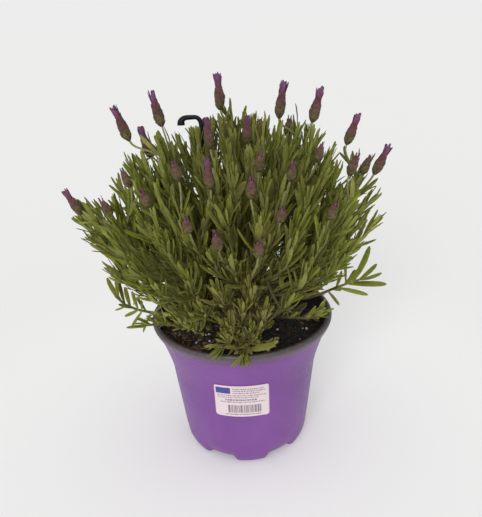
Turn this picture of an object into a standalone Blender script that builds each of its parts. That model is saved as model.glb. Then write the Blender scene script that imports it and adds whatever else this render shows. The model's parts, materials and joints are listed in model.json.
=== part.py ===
"""Tufted lavender growing in a thin-walled plastic nursery pot.

Metres, +Z up.  The origin is the centre of the pot's flat base, on the surface
that the pot stands on.  The viewer's side of the pot, with the sticker, faces -Y.

Pieces: the pot, its sticker, the soil, a plastic crook-headed stake, the woody
crown of the plant, the leafy shoots that fan out of the crown, and the flower
heads, each on its own bare stalk.  Neighbouring pieces keep a gap of about
0.3 mm, because each is its own solid.
"""

import math

import bmesh
import bpy
from mathutils import Vector, noise

# ---------------------------------------------------------------- driving sizes
GAP = 0.0003  # clearance between touching pieces

POT_HEIGHT = 0.111
RIM_RADIUS = 0.070  # outside of the rolled rim
RIM_BAND = 0.0092  # height of the rim band
WALL_FOOT = 0.0487  # outside of the straight wall, carried down to the table
WALL_TAPER = 0.115
FLARE_FROM = 0.069  # above this height the wall curves outwards to the rim
FLARE_OUT = 0.0060
WALL = 0.0012
SEGMENTS = 48  # around the pot and the soil

FEET = 6  # lobes of the base that reach the table
FOOT_PHASE = math.radians(-87.0)  # middle of the front foot
RECESS_LIFT = 0.0032  # how far the base is raised between the feet
RECESS_IN = 0.031  # inner radius of the raised parts
DRAIN_RADIUS = 0.0032
DRAIN_AT = 0.0375

SOIL_TOP = 0.0985
SOIL_FLOOR = RECESS_LIFT + WALL + 0.0006
SOIL_LUMP = 0.0026

STICKER_MID = math.radians(-92.9)  # direction of the sticker's middle
STICKER_WIDTH = 0.0402
STICKER_LOW, STICKER_HIGH = 0.0499, 0.0796
STICKER_THICK = 0.0004

STAKE_X, STAKE_Y = -0.024, 0.030
STAKE_TOP = 0.2575
STAKE_RADIUS = 0.0017
STAKE_FOOT = 0.060
CROOK_RADIUS = 0.0075

CROWN_SIDES = 8
STUB_HALF = 0.0017  # half the thickness of a cut-off main stem

STEM_BASE, STEM_TIP = 0.0016, 0.0009  # half thickness of a leafy shoot
LEAF_NODES = 6  # pairs of leaves on a shoot
LEAF_LENGTH = 0.024
LEAF_WIDTH = 0.0034
LEAF_THICK = 0.0012
NODE_HEIGHT = 0.0015

STALK = 0.0008  # half thickness of a flower's bare stalk
SPIKE_RADIUS = 0.0037
HEAD_LENGTH = 0.026  # full-size head; the table below scales it

# Leafy shoots: direction (degrees), reach from the pot's axis (mm), height of
# the tip (mm) and lean of the tip from upright (degrees).
LOW_SHOOTS = (
    (1, 96, 132, 66),
    (42, 98, 146, 60),
    (92, 96, 142, 62),
    (138, 98, 148, 60),
    (197, 95, 140, 24),
    (228, 94, 138, 64),
    (271, 80, 119, 84),
    (318, 72, 128, 50),
)
MIDDLE_SHOOTS = (
    (12, 92, 200, 34),
    (58, 84, 200, 30),
    (104, 82, 198, 30),
    (148, 88, 200, 32),
    (193, 98, 190, 38),
    (236, 82, 192, 34),
    (282, 76, 186, 36),
    (328, 84, 190, 34),
)
TOP_SHOOTS = (
    (22, 48, 238, 14),
    (84, 36, 238, 12),
    (196, 50, 234, 16),
    (284, 36, 234, 16),
)

# Flower heads: direction (degrees), reach and height of the head's middle (mm)
# and the head's length (mm).  First those of the crown's skyline and front,
# then those on the far side.
HEADS = (
    (178, 78, 258, 27),
    (171, 54, 266, 26),
    (125, 16, 275, 25),
    (18, 36, 268, 26),
    (7, 59, 264, 25),
    (1, 83, 247, 23),
    (357, 103, 226, 23),
    (186, 116, 207, 21),
    (172, 64, 243, 24),
    (346, 83, 228, 19),
    (1, 94, 222, 17),
    (32, 48, 248, 17),
    (300, 18, 253, 20),
    (229, 26, 252, 21),
    (233, 62, 236, 17),
    (255, 64, 235, 21),
    (286, 54, 240, 16),
    (277, 72, 229, 18),
    (344, 60, 236, 15),
    (303, 64, 233, 15),
    (198, 78, 226, 15),
    (224, 80, 221, 16),
    (250, 88, 211, 14),
    (262, 92, 203, 17),
    (288, 84, 214, 13),
    (277, 94, 198, 15),
    (312, 88, 210, 15),
    (200, 94, 209, 16),
    (70, 60, 238, 21),
    (108, 72, 230, 20),
    (142, 92, 212, 18),
    (44, 88, 216, 19),
    (88, 96, 204, 17),
)


# ---------------------------------------------------------------- materials
def material(name, colour, roughness, metallic=0.0):
    mat = bpy.data.materials.new(name)
    mat.use_nodes = True
    shader = mat.node_tree.nodes["Principled BSDF"]
    shader.inputs["Base Color"].default_value = (*colour, 1.0)
    shader.inputs["Roughness"].default_value = roughness
    shader.inputs["Metallic"].default_value = metallic
    mat.diffuse_color = (*colour, 1.0)
    return mat


def finish(name, bm, mat, angle=40.0):
    """Turn the mesh outwards, name it, shade it and put it in the scene."""
    bmesh.ops.recalc_face_normals(bm, faces=bm.faces[:])
    mesh = bpy.data.meshes.new(name)
    bm.to_mesh(mesh)
    bm.free()
    mesh.shade_smooth()
    mesh.set_sharp_from_angle(angle=math.radians(angle))
    mesh.materials.append(mat)
    ob = bpy.data.objects.new(name, mesh)
    bpy.context.scene.collection.objects.link(ob)
    return ob


# ---------------------------------------------------------------- pot and soil
def smooth(t):
    t = max(0.0, min(1.0, t))
    return t * t * (3.0 - 2.0 * t)


def recess(direction):
    """0 on a foot of the base, 1 in the middle of a raised part."""
    turn = (direction - FOOT_PHASE) / (2.0 * math.pi) * FEET
    away = abs(turn - round(turn)) * 2.0  # 0 at a foot's middle, 1 between feet
    return smooth((away - 0.42) / 0.22)


def wall_radius(z):
    """Outside of the wall below the rim band."""
    rise = (z - FLARE_FROM) / (POT_HEIGHT - RIM_BAND - FLARE_FROM)
    return WALL_FOOT + WALL_TAPER * z + FLARE_OUT * max(0.0, rise) ** 1.5


def turned(bm, profile):
    """Rings of SEGMENTS vertices for a profile of functions (direction) -> (r, z)."""
    rings = []
    for point in profile:
        ring = []
        for i in range(SEGMENTS):
            a = 2.0 * math.pi * i / SEGMENTS
            r, z = point(a)
            ring.append(bm.verts.new((r * math.cos(a), r * math.sin(a), z)))
        rings.append(ring)
    for low, high in zip(rings, rings[1:]):
        for i in range(SEGMENTS):
            j = (i + 1) % SEGMENTS
            bm.faces.new((low[i], low[j], high[j], high[i]))
    return rings


def close_centre(bm, ring, z, x=0.0, y=0.0):
    middle = bm.verts.new((x, y, z))
    for i in range(len(ring)):
        bm.faces.new((ring[i], ring[(i + 1) % len(ring)], middle))


def make_pot(mat):
    top = POT_HEIGHT
    under = POT_HEIGHT - RIM_BAND

    def base(r, share):
        return lambda a: (r, RECESS_LIFT * recess(a) * share)

    def foot_corner(r_off, z):
        # the wall starts on the table at a foot and above the raised part between feet
        def point(a):
            lift = RECESS_LIFT * recess(a)
            pinch = 0.0014 * recess(a)
            return (wall_radius(z) - r_off - pinch, lift + z)

        return point

    def wall(z, inset=0.0):
        return lambda a: (wall_radius(z) - inset, z)

    outer = [
        base(RECESS_IN - 0.001, 0.0),
        base(RECESS_IN + 0.003, 1.0),
        foot_corner(0.0050, 0.0),
        foot_corner(0.0034, 0.0010),
        foot_corner(0.0014, 0.0036),
        foot_corner(0.0004, 0.0075),
        wall(0.018),
        wall(0.069),
        wall(0.075),
        wall(0.081),
        wall(0.087),
        wall(0.093),
        wall(0.099),
        wall(under),
        lambda a: (wall_radius(under) + 0.0007, under + 0.0004),
        lambda a: (RIM_RADIUS - 0.0016, top - 0.0068),
        lambda a: (RIM_RADIUS - 0.0003, top - 0.0044),
        lambda a: (RIM_RADIUS, top - 0.0022),
        lambda a: (RIM_RADIUS - 0.0007, top - 0.0006),
        lambda a: (RIM_RADIUS - 0.0018, top),
    ]
    inner = [
        lambda a: (RIM_RADIUS - 0.0034, top),
        lambda a: (RIM_RADIUS - 0.0043, top - 0.0008),
        lambda a: (RIM_RADIUS - 0.0047, top - 0.0026),
        wall(0.0978, WALL),
        wall(0.092, WALL),
        wall(0.083, WALL),
        wall(0.069, WALL),
        wall(0.018, WALL),
        lambda a: (
            wall_radius(0.0054) - WALL - 0.0016 - 0.0014 * recess(a),
            0.0044 + RECESS_LIFT * recess(a),
        ),
        lambda a: (
            wall_radius(0.001) - WALL - 0.0050,
            WALL + RECESS_LIFT * recess(a),
        ),
        lambda a: (RECESS_IN + 0.003, WALL + RECESS_LIFT * recess(a)),
        lambda a: (RECESS_IN - 0.001, WALL),
    ]
    bm = bmesh.new()
    rings = turned(bm, outer + inner)
    close_centre(bm, rings[0], 0.0, 0.0060, 0.0034)
    close_centre(bm, rings[-1], WALL)
    pot = finish("pot", bm, mat, 35.0)

    # a round drain hole through the floor of each raised part
    for k in range(FEET):
        a = FOOT_PHASE + (k + 0.5) * 2.0 * math.pi / FEET
        cut = bmesh.new()
        bmesh.ops.create_cone(
            cut,
            cap_ends=True,
            segments=10,
            radius1=DRAIN_RADIUS,
            radius2=DRAIN_RADIUS,
            depth=0.008,
        )
        bmesh.ops.translate(
            cut,
            verts=cut.verts[:],
            vec=(DRAIN_AT * math.cos(a), DRAIN_AT * math.sin(a), RECESS_LIFT + 0.0006),
        )
        cutter = finish("drain_cutter_%d" % (k + 1), cut, mat)
        cutter.hide_render = True
        cutter.display_type = "WIRE"
        hole = pot.modifiers.new("drain_%d" % (k + 1), "BOOLEAN")
        hole.operation = "DIFFERENCE"
        hole.solver = "EXACT"
        hole.object = cutter
    return pot


def soil_height(x, y):
    """Lumpy potting soil: flat under the crown, higher to the front left."""
    r = math.hypot(x, y)
    lump = noise.noise(Vector((x * 55.0, y * 55.0, 3.1))) * SOIL_LUMP
    lump += noise.noise(Vector((x * 150.0, y * 150.0, 8.7))) * SOIL_LUMP * 0.45
    bank = 0.0030 * smooth((-x * 0.8 - y * 0.5 - 0.012) / 0.035)
    hollow = -0.0030 * smooth((x * 0.7 - y * 0.5 - 0.018) / 0.030)
    return SOIL_TOP + (lump + bank + hollow) * smooth((r - 0.015) / 0.012)


def make_soil(mat):
    def inside(z):
        # above the rim's foot the inside of the pot is upright
        return wall_radius(min(z, 0.0978)) - WALL - GAP - 0.0002

    def bottom(r):
        return lambda a: (r, SOIL_FLOOR)

    def top(share):
        def point(a):
            r = share * inside(SOIL_TOP)
            z = soil_height(r * math.cos(a), r * math.sin(a))
            return (inside(z) if share == 1.0 else r, z)

        return point

    profile = [bottom(inside(SOIL_FLOOR) - 0.0064)]
    profile += [lambda a: (inside(0.0105) - 0.0026, 0.0105)]
    for z in (0.019, 0.069, 0.083, 0.092):
        profile += [lambda a, z=z: (inside(z), z)]
    profile += [top(share) for share in (1.0, 0.9, 0.76, 0.6, 0.44, 0.3, 0.2)]
    bm = bmesh.new()
    rings = turned(bm, profile)
    close_centre(bm, rings[0], SOIL_FLOOR)
    close_centre(bm, rings[-1], SOIL_TOP)
    return finish("soil", bm, mat, 60.0)


def make_sticker(mat):
    """A thin curved label with rounded lower corners, lying on the wall."""
    bm = bmesh.new()
    across, up = 10, 5
    layers = []
    for lift in (GAP, GAP + STICKER_THICK):
        grid = []
        for j in range(up + 1):
            v = j / up
            z = STICKER_LOW + (STICKER_HIGH - STICKER_LOW) * v
            # the corners are cut back in the lowest and highest rows
            trim = 0.0014 if j in (0, up) else 0.0
            row = []
            for i in range(across + 1):
                u = (i / across - 0.5) * 2.0
                half = STICKER_WIDTH / 2.0 - trim
                r = wall_radius(z) + lift
                a = STICKER_MID + u * half / r
                row.append(bm.verts.new((r * math.cos(a), r * math.sin(a), z)))
            grid.append(row)
        layers.append(grid)
    for grid in layers:
        for j in range(up):
            for i in range(across):
                bm.faces.new(
                    (grid[j][i], grid[j][i + 1], grid[j + 1][i + 1], grid[j + 1][i])
                )
    edge = [(0, i) for i in range(across)]
    edge += [(j, across) for j in range(up)]
    edge += [(up, i) for i in range(across, 0, -1)]
    edge += [(j, 0) for j in range(up, 0, -1)]
    for k in range(len(edge)):
        j0, i0 = edge[k]
        j1, i1 = edge[(k + 1) % len(edge)]
        bm.faces.new(
            (
                layers[0][j0][i0],
                layers[0][j1][i1],
                layers[1][j1][i1],
                layers[1][j0][i0],
            )
        )
    return finish("pot_sticker", bm, mat, 30.0)


# ---------------------------------------------------------------- swept shapes
def frames(points):
    """A direction and two cross directions at each point, carried without twist."""
    dirs = []
    for i in range(len(points)):
        a = points[max(i - 1, 0)]
        b = points[min(i + 1, len(points) - 1)]
        dirs.append((b - a).normalized())
    side = dirs[0].cross(Vector((0.0, 0.0, 1.0)))
    if side.length < 0.05:
        side = dirs[0].cross(Vector((0.0, 1.0, 0.0)))
    side.normalize()
    out = []
    for d in dirs:
        side = (side - d * side.dot(d)).normalized()
        out.append((d, side, d.cross(side)))
    return out


def sweep(bm, points, radii, sides, skip=()):
    """A tube with flat ends.  skip holds (ring, side) faces left out for a growth."""
    shape = frames(points)
    rings = []
    for p, r, (_, s, t) in zip(points, radii, shape):
        ring = []
        for k in range(sides):
            a = 2.0 * math.pi * (k + 0.5) / sides
            ring.append(bm.verts.new(p + (s * math.cos(a) + t * math.sin(a)) * r))
        rings.append(ring)
    for i in range(len(rings) - 1):
        for k in range(sides):
            if (i, k) in skip:
                continue
            n = (k + 1) % sides
            bm.faces.new((rings[i][k], rings[i][n], rings[i + 1][n], rings[i + 1][k]))
    bm.faces.new(list(reversed(rings[0])))
    bm.faces.new(rings[-1])
    return rings, shape


def grow(bm, quad, stations, tip):
    """Draw a blade out of an open quad through four-cornered stations to a point."""
    last = quad
    for corners in stations:
        now = [bm.verts.new(c) for c in corners]
        for k in range(4):
            n = (k + 1) % 4
            bm.faces.new((last[k], last[n], now[n], now[k]))
        last = now
    end = bm.verts.new(tip)
    for k in range(4):
        bm.faces.new((last[k], last[(k + 1) % 4], end))


def hermite(p0, d0, p1, d1, count):
    out = []
    for i in range(count):
        t = i / (count - 1)
        a = 2 * t**3 - 3 * t**2 + 1
        b = t**3 - 2 * t**2 + t
        c = -2 * t**3 + 3 * t**2
        d = t**3 - t**2
        out.append(p0 * a + d0 * b + p1 * c + d1 * d)
    return out


def at_length(points, distance):
    """The point and direction that far along a polyline."""
    left = distance
    for a, b in zip(points, points[1:]):
        step = (b - a).length
        if left <= step or b is points[-1]:
            return a + (b - a) * (left / step), (b - a).normalized()
        left -= step
    return points[-1], (points[-1] - points[-2]).normalized()


def total_length(points):
    return sum((b - a).length for a, b in zip(points, points[1:]))


# ---------------------------------------------------------------- clearances
class Room:
    """Round-ended rods that stand for what is already in place."""

    def __init__(self):
        self.rods = []

    def add(self, owner, points, radius):
        for a, b in zip(points, points[1:]):
            self.rods.append((owner, a.copy(), b.copy(), radius))

    def free(self, points, radius, ignore=()):
        for a, b in zip(points, points[1:]):
            for owner, c, d, r in self.rods:
                if owner in ignore:
                    continue
                reach = radius + r + GAP
                if (
                    (a + b - c - d).length * 0.5
                    > reach + ((b - a).length + (d - c).length) * 0.5
                ):
                    continue
                if rod_distance(a, b, c, d) < reach:
                    return False
        return True


def rod_distance(p1, q1, p2, q2):
    """Shortest distance between two straight pieces."""
    d1, d2, r = q1 - p1, q2 - p2, p1 - p2
    a, e, f = d1.dot(d1), d2.dot(d2), d2.dot(r)
    c, b = d1.dot(r), d1.dot(d2)
    denom = a * e - b * b
    s = max(0.0, min(1.0, (b * f - c * e) / denom)) if denom > 1e-15 else 0.0
    t = (b * s + f) / e
    if t < 0.0:
        t, s = 0.0, max(0.0, min(1.0, -c / a))
    elif t > 1.0:
        t, s = 1.0, max(0.0, min(1.0, (b - c) / a))
    return ((p1 + d1 * s) - (p2 + d2 * t)).length


def clear_of_pot(points, margin):
    """True where the points keep off the rim, the wall and the soil."""
    for p in points:
        r = math.hypot(p.x, p.y)
        if 0.0625 - margin < r < RIM_RADIUS + margin + 0.0005:
            if p.z < POT_HEIGHT + margin + 0.0006:
                return False
        elif r <= 0.0625 - margin and p.z < SOIL_TOP + 0.0045 + margin:
            return False
    return True


# ---------------------------------------------------------------- the plant
def polar(direction, reach, height):
    a = math.radians(direction)
    return Vector(
        (reach * 0.001 * math.cos(a), reach * 0.001 * math.sin(a), height * 0.001)
    )


def leaning(direction, lean):
    a, b = math.radians(direction), math.radians(lean)
    return Vector((math.sin(b) * math.cos(a), math.sin(b) * math.sin(a), math.cos(b)))


def make_crown(mat):
    """The woody foot of the plant with a stub for every main stem.

    Returns, for each stub, the point and direction where its shoot goes on.
    """
    z0 = SOIL_TOP + GAP
    levels = ((0.0, 9.5), (0.0035, 11.5), (0.0095, 10.0), (0.0145, 6.5), (0.017, 3.0))
    bm = bmesh.new()
    rings = []
    for n, (z, r) in enumerate(levels):
        ring = []
        for k in range(CROWN_SIDES):
            a = 2.0 * math.pi * (k - 0.5) / CROWN_SIDES + 0.04 * n
            bump = 1.0 + 0.08 * noise.noise(Vector((k * 1.7, n * 2.3, 0.5)))
            ring.append(
                bm.verts.new(
                    (r * 0.001 * bump * math.cos(a), r * 0.001 * bump * math.sin(a), z0 + z)
                )
            )
        rings.append(ring)
    bm.faces.new(list(reversed(rings[0])))
    bm.faces.new(rings[-1])

    wanted = {}
    for k, shoot in enumerate(LOW_SHOOTS):
        wanted[(1, k)] = (shoot, 68.0, 0.010)
    for k, shoot in enumerate(MIDDLE_SHOOTS):
        wanted[(2, k)] = (shoot, 44.0, 0.013)
    for k, shoot in enumerate(TOP_SHOOTS):
        wanted[(3, 2 * k)] = (shoot, 16.0, 0.012)

    starts = []
    for n in range(len(rings) - 1):
        for k in range(CROWN_SIDES):
            j = (k + 1) % CROWN_SIDES
            quad = [rings[n][k], rings[n][j], rings[n + 1][j], rings[n + 1][k]]
            if (n, k) not in wanted:
                bm.faces.new(quad)
                continue
            shoot, lean, length = wanted[(n, k)]
            out = leaning(shoot[0], lean)
            start = sum((v.co for v in quad), Vector()) / 4.0
            across = Vector((-out.y, out.x, 0.0)).normalized()
            up = out.cross(across) * -1.0
            if up.z < 0.0:
                up.negate()
            last = quad
            for share, half in ((0.35, 1.45), (1.0, 1.0)):
                c = start + out * (length * share)
                h = STUB_HALF * half
                corners = (
                    c - across * h - up * h,
                    c + across * h - up * h,
                    c + across * h + up * h,
                    c - across * h + up * h,
                )
                now = [bm.verts.new(p) for p in corners]
                for m in range(4):
                    bm.faces.new((last[m], last[(m + 1) % 4], now[(m + 1) % 4], now[m]))
                last = now
            bm.faces.new(last)
            starts.append((shoot, start + out * length, out))
    crown = finish("woody_crown", bm, mat, 50.0)
    return crown, starts


def head_points(entry):
    """Middle, axis and length of a flower head."""
    direction, reach, height, length = entry
    axis = leaning(direction, 25.0 * reach / 100.0)
    return polar(direction, reach, height), axis, length * 0.001


def make_shoot(name, points, room, mat, turn):
    """A square stem with opposite pairs of narrow leaves, each pair across the last."""
    length = total_length(points)
    stations = [0.0]
    nodes = []
    for k in range(LEAF_NODES):
        s = length * (0.34 + 0.61 * k / (LEAF_NODES - 1))
        nodes.append(len(stations))
        stations += [s, s + NODE_HEIGHT]
    stations.append(length)
    path = [at_length(points, s)[0] for s in stations]
    radii = [STEM_BASE + (STEM_TIP - STEM_BASE) * s / length for s in stations]
    radii = [r * math.sqrt(2.0) for r in radii]
    shape = frames(path)

    blades = []
    skip = set()
    for n, ring in enumerate(nodes):
        share = n / (LEAF_NODES - 1)
        for side in ((n + turn) % 2, (n + turn) % 2 + 2):
            d, s, t = shape[ring]
            a = 2.0 * math.pi * (side + 1.0) / 4.0
            out = s * math.cos(a) + t * math.sin(a)
            wide = d.cross(out).normalized()
            start = (path[ring] + path[ring + 1]) * 0.5 + out * radii[ring] * 0.6
            for scale, spread in ((1.0, 0.62), (0.8, 0.45), (0.62, 0.8), (0.5, 0.35)):
                size = LEAF_LENGTH * (0.86 + 0.2 * share) * scale
                lift = spread * (1.0 - 0.35 * share)
                way = (d * (1.0 - lift) + out * lift).normalized()
                curl = (d * 0.35 - out * 0.25) * size * 0.25
                mid = start + way * size * 0.34
                far = start + way * size * 0.72 + curl * 0.4
                tip = start + way * size + curl
                line = [start + way * 0.0015, mid, far, tip]
                if not clear_of_pot(line, LEAF_WIDTH * 0.5):
                    continue
                if room.free(line, LEAF_WIDTH * 0.5 + 0.0002, (name,)):
                    room.add(name + "_leaf", line, LEAF_WIDTH * 0.5 + 0.0002)
                    blades.append((ring, side, way, wide, mid, far, tip))
                    skip.add((ring, side))
                    break

    bm = bmesh.new()
    rings, _ = sweep(bm, path, radii, 4, skip)
    for ring, side, way, wide, mid, far, tip in blades:
        n = (side + 1) % 4
        quad = [rings[ring][side], rings[ring][n], rings[ring + 1][n], rings[ring + 1][side]]
        across = (quad[1].co - quad[0].co).normalized()
        thick = across.cross(way) * -1.0
        if thick.dot(quad[3].co - quad[0].co) < 0.0:
            thick.negate()
        steps = []
        for c, w, h in ((mid, LEAF_WIDTH, LEAF_THICK), (far, LEAF_WIDTH * 0.8, LEAF_THICK * 0.8)):
            x, y = across * w * 0.5, thick * h * 0.5
            steps.append((c - x - y, c + x - y, c + x + y, c - x + y))
        grow(bm, quad, steps, tip)
    return finish(name, bm, mat, 30.0)


def make_head(name, stalk, axis, base, length, mat, spin):
    """A bare stalk, a plump scaly spike and a narrow tuft of bracts at its top."""
    scale = length / HEAD_LENGTH
    girth = SPIKE_RADIUS * (0.72 + 0.28 * scale)
    spike = length * 0.66
    profile = (
        (0.00, 0.34),
        (0.10, 0.86),
        (0.30, 1.00),
        (0.62, 0.84),
        (1.00, 0.44),
    )
    points = list(stalk)
    radii = [STALK] * len(points)
    for share, r in profile:
        points.append(base + axis * (spike * share + 0.0004))
        radii.append(girth * r)
    neck = base + axis * (spike + length * 0.10)
    points += [neck, neck + axis * length * 0.035]
    radii += [girth * 0.40, girth * 0.46]
    last = len(points) - 2
    skip = {(last, k) for k in (0, 2, 4)}
    bm = bmesh.new()
    rings, shape = sweep(bm, points, radii, 6, skip)
    for k in (0, 2, 4):
        n = (k + 1) % 6
        quad = [rings[last][k], rings[last][n], rings[last + 1][n], rings[last + 1][k]]
        middle = sum((v.co for v in quad), Vector()) / 4.0
        out = (middle - neck).normalized()
        out = (out - axis * out.dot(axis)).normalized()
        across = (quad[1].co - quad[0].co).normalized()
        steps = []
        for along, away, w in ((0.09, 0.30, 0.52), (0.17, 0.44, 0.62)):
            c = middle + axis * length * along + out * girth * away
            thick = (axis * 0.35 - out * 0.94).normalized() * 0.0006
            x = across * girth * w
            steps.append((c - x - thick, c + x - thick, c + x + thick, c - x + thick))
        tip = middle + axis * length * 0.225 + out * girth * 0.62
        grow(bm, quad, steps, tip)
    return finish(name, bm, mat, 50.0)


def make_stake(mat):
    """A thin plastic stake pushed into the soil, with an open crook at its top."""
    points = []
    z = STAKE_FOOT
    top = STAKE_TOP - CROOK_RADIUS
    points.append(Vector((STAKE_X, STAKE_Y, STAKE_FOOT)))
    for k in range(1, 5):
        z = STAKE_FOOT + (top - STAKE_FOOT) * k / 4.0
        points.append(Vector((STAKE_X, STAKE_Y, z)))
    centre = Vector((STAKE_X - CROOK_RADIUS, STAKE_Y, top))
    flat = 0.0055
    for k in range(1, 5):
        a = math.radians(90.0 * k / 4.0)
        points.append(
            centre + Vector((CROOK_RADIUS * math.cos(a), 0.0, CROOK_RADIUS * math.sin(a)))
        )
    for k in range(0, 5):
        a = math.radians(90.0 + 90.0 * k / 4.0)
        points.append(
            centre
            + Vector((-flat + CROOK_RADIUS * math.cos(a), 0.0, CROOK_RADIUS * math.sin(a)))
        )
    radii = [0.0006] + [STAKE_RADIUS] * (len(points) - 6) + [STAKE_RADIUS * 1.35] * 5
    bm = bmesh.new()
    sweep(bm, points, radii, 6)
    return finish("crook_stake", bm, mat, 35.0), points


def cut_stake_hole(soil, mat):
    """The soil stays clear of the stake's buried foot."""
    hole = bmesh.new()
    bmesh.ops.create_cone(
        hole,
        cap_ends=True,
        segments=8,
        radius1=STAKE_RADIUS + GAP * 1.6,
        radius2=STAKE_RADIUS + GAP * 1.6,
        depth=0.060,
    )
    bmesh.ops.translate(
        hole, verts=hole.verts[:], vec=(STAKE_X, STAKE_Y, STAKE_FOOT - GAP * 2 + 0.030)
    )
    cutter = finish("stake_cutter", hole, mat)
    cutter.hide_render = True
    cutter.display_type = "WIRE"
    cut = soil.modifiers.new("stake_hole", "BOOLEAN")
    cut.operation = "DIFFERENCE"
    cut.solver = "EXACT"
    cut.object = cutter


def main():
    for ob in list(bpy.data.objects):
        bpy.data.objects.remove(ob, do_unlink=True)

    purple = material("pot_plastic", (0.25, 0.11, 0.42), 0.42)
    paper = material("sticker_paper", (0.86, 0.82, 0.84), 0.5)
    earth = material("potting_soil", (0.030, 0.021, 0.014), 0.95)
    black = material("stake_plastic", (0.02, 0.02, 0.022), 0.4)
    bark = material("woody_stem", (0.16, 0.11, 0.065), 0.85)
    leaf = material("leaf", (0.15, 0.17, 0.055), 0.6)
    flower = material("flower_head", (0.20, 0.08, 0.14), 0.7)

    make_pot(purple)
    make_sticker(paper)
    soil = make_soil(earth)
    cut_stake_hole(soil, earth)
    _, stake = make_stake(black)
    _, starts = make_crown(bark)

    room = Room()
    room.add("crook_stake", stake, STAKE_RADIUS * 1.5)
    rim = [polar(15.0 * k, 1000.0 * (RIM_RADIUS - 0.002), 1000.0 * (POT_HEIGHT - 0.003)) for k in range(25)]
    room.add("pot", rim, 0.0035)
    # the inside of the crook and one clear stretch of the watering space stay open
    inside = [
        Vector((STAKE_X - 0.0045, STAKE_Y, STAKE_TOP - 0.0075)),
        Vector((STAKE_X - 0.0160, STAKE_Y, STAKE_TOP - 0.0075)),
    ]
    room.add("crook_gap", inside, 0.0075)
    room.add("watering_gap", [polar(293, 48, 104), polar(293, 48, 122)], 0.0100)

    # main lines of the shoots
    lines = []
    for k, (shoot, start, out) in enumerate(starts):
        name = "leafy_shoot_%02d" % (k + 1)
        direction, reach, height, lean = shoot
        tip = polar(direction, reach, height)
        begin = start + out * (GAP + 0.0001)
        span = (tip - begin).length
        line = hermite(begin, out * span * 1.0, tip, leaning(direction, lean) * span * 0.9, 13)
        lines.append((name, line))
        room.add("woody_crown", [start - out * 0.012, start], STUB_HALF * 1.5)
    for name, line in lines:
        if not room.free(line[2:], STEM_BASE * 1.4):
            print("tight:", name)
        room.add(name, line, STEM_BASE * 1.45)

    # flower stalks: each leaves a shoot at its tip or from a leaf's corner
    stems = {}
    taken = set()
    for n, entry in enumerate(HEADS):
        name = "flower_head_%02d" % (n + 1)
        middle, axis, length = head_points(entry)
        base = middle - axis * length * 0.5
        options = []
        for k, (shoot, line) in enumerate(lines):
            full = total_length(line)
            for share in (1.0, 0.84, 0.7, 0.56, 0.44):
                if (k, share) in taken:
                    continue
                p, d = at_length(line, full * share)
                way = base - p
                if way.length < 0.010 or way.z < 0.004:
                    continue
                cost = way.length + 0.05 * (1.0 - way.normalized().dot(axis))
                options.append((cost, k, share, p, d))
        options.sort(key=lambda o: o[0])
        for cost, k, share, p, d in options[:40]:
            way = (base - p).normalized()
            if share == 1.0:
                start = p + d * (GAP + 0.0003)
                lead = d
            else:
                side = (way - d * way.dot(d)).normalized()
                start = p + side * (STEM_BASE * 1.45 + STALK + GAP + 0.0004)
                lead = (d * 0.5 + side * 0.8).normalized()
            span = (base - start).length
            stalk = hermite(start, lead * span * 0.8, base, axis * span * 0.8, 9)
            body = stalk + [base + axis * length]
            ok = room.free(stalk[:-1], STALK * 1.1, (lines[k][0],))
            if ok and share != 1.0:
                ok = room.free(stalk, STALK * 0.9 + 0.0001) or share != 1.0 and all(
                    rod_distance(a, b, c, e) > STALK + STEM_BASE * 1.45 + GAP
                    for a, b in zip(stalk[1:], stalk[2:])
                    for c, e in zip(lines[k][1], lines[k][1][1:])
                )
            ok = ok and room.free(body[-2:], SPIKE_RADIUS * 1.15)
            ok = ok and clear_of_pot(stalk, 0.001)
            if ok:
                taken.add((k, share))
                stems[name] = (stalk, axis, base, length)
                room.add(name, stalk, STALK * 1.1)
                room.add(name, body[-2:], SPIKE_RADIUS * 1.1)
                break
        else:
            print("no place for", name)

    for n, (name, line) in enumerate(lines):
        make_shoot(name, line, room, leaf, n)
    for n, name in enumerate(sorted(stems)):
        stalk, axis, base, length = stems[name]
        short = [stalk[i] for i in (0, 2, 4, 6)] + [stalk[8] - axis * 0.0002]
        make_head(name, short, axis, base, length, flower, n)


main()
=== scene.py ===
"""The looks of a tufted lavender in a plastic nursery pot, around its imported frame."""
import json
import math

import bmesh
import bpy
import numpy as np
from mathutils import Matrix, Vector, noise

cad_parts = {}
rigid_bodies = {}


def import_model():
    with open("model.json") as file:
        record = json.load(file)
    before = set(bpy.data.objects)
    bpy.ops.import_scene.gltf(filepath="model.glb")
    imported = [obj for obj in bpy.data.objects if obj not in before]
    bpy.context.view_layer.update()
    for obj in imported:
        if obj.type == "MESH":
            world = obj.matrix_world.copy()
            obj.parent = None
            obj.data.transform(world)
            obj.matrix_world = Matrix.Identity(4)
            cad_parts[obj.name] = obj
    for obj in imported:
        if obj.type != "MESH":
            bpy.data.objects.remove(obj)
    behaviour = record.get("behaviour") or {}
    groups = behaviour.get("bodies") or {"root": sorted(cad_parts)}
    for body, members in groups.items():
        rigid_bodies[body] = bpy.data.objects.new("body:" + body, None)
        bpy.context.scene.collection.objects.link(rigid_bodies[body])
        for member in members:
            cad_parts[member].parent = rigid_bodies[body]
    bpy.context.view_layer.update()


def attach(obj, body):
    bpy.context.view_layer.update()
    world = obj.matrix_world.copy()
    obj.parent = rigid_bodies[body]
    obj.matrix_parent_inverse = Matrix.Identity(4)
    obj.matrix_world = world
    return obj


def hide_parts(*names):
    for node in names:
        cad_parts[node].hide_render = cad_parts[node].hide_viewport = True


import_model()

# ------------------------------------------------------------------ shared sizes
GAP = 0.0003
POT_HEIGHT = 0.111
RIM_RADIUS = 0.070
RIM_BAND = 0.0092
WALL_FOOT = 0.0487
WALL_TAPER = 0.115
FLARE_FROM = 0.069
FLARE_OUT = 0.0060
WALL = 0.0012
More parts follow.
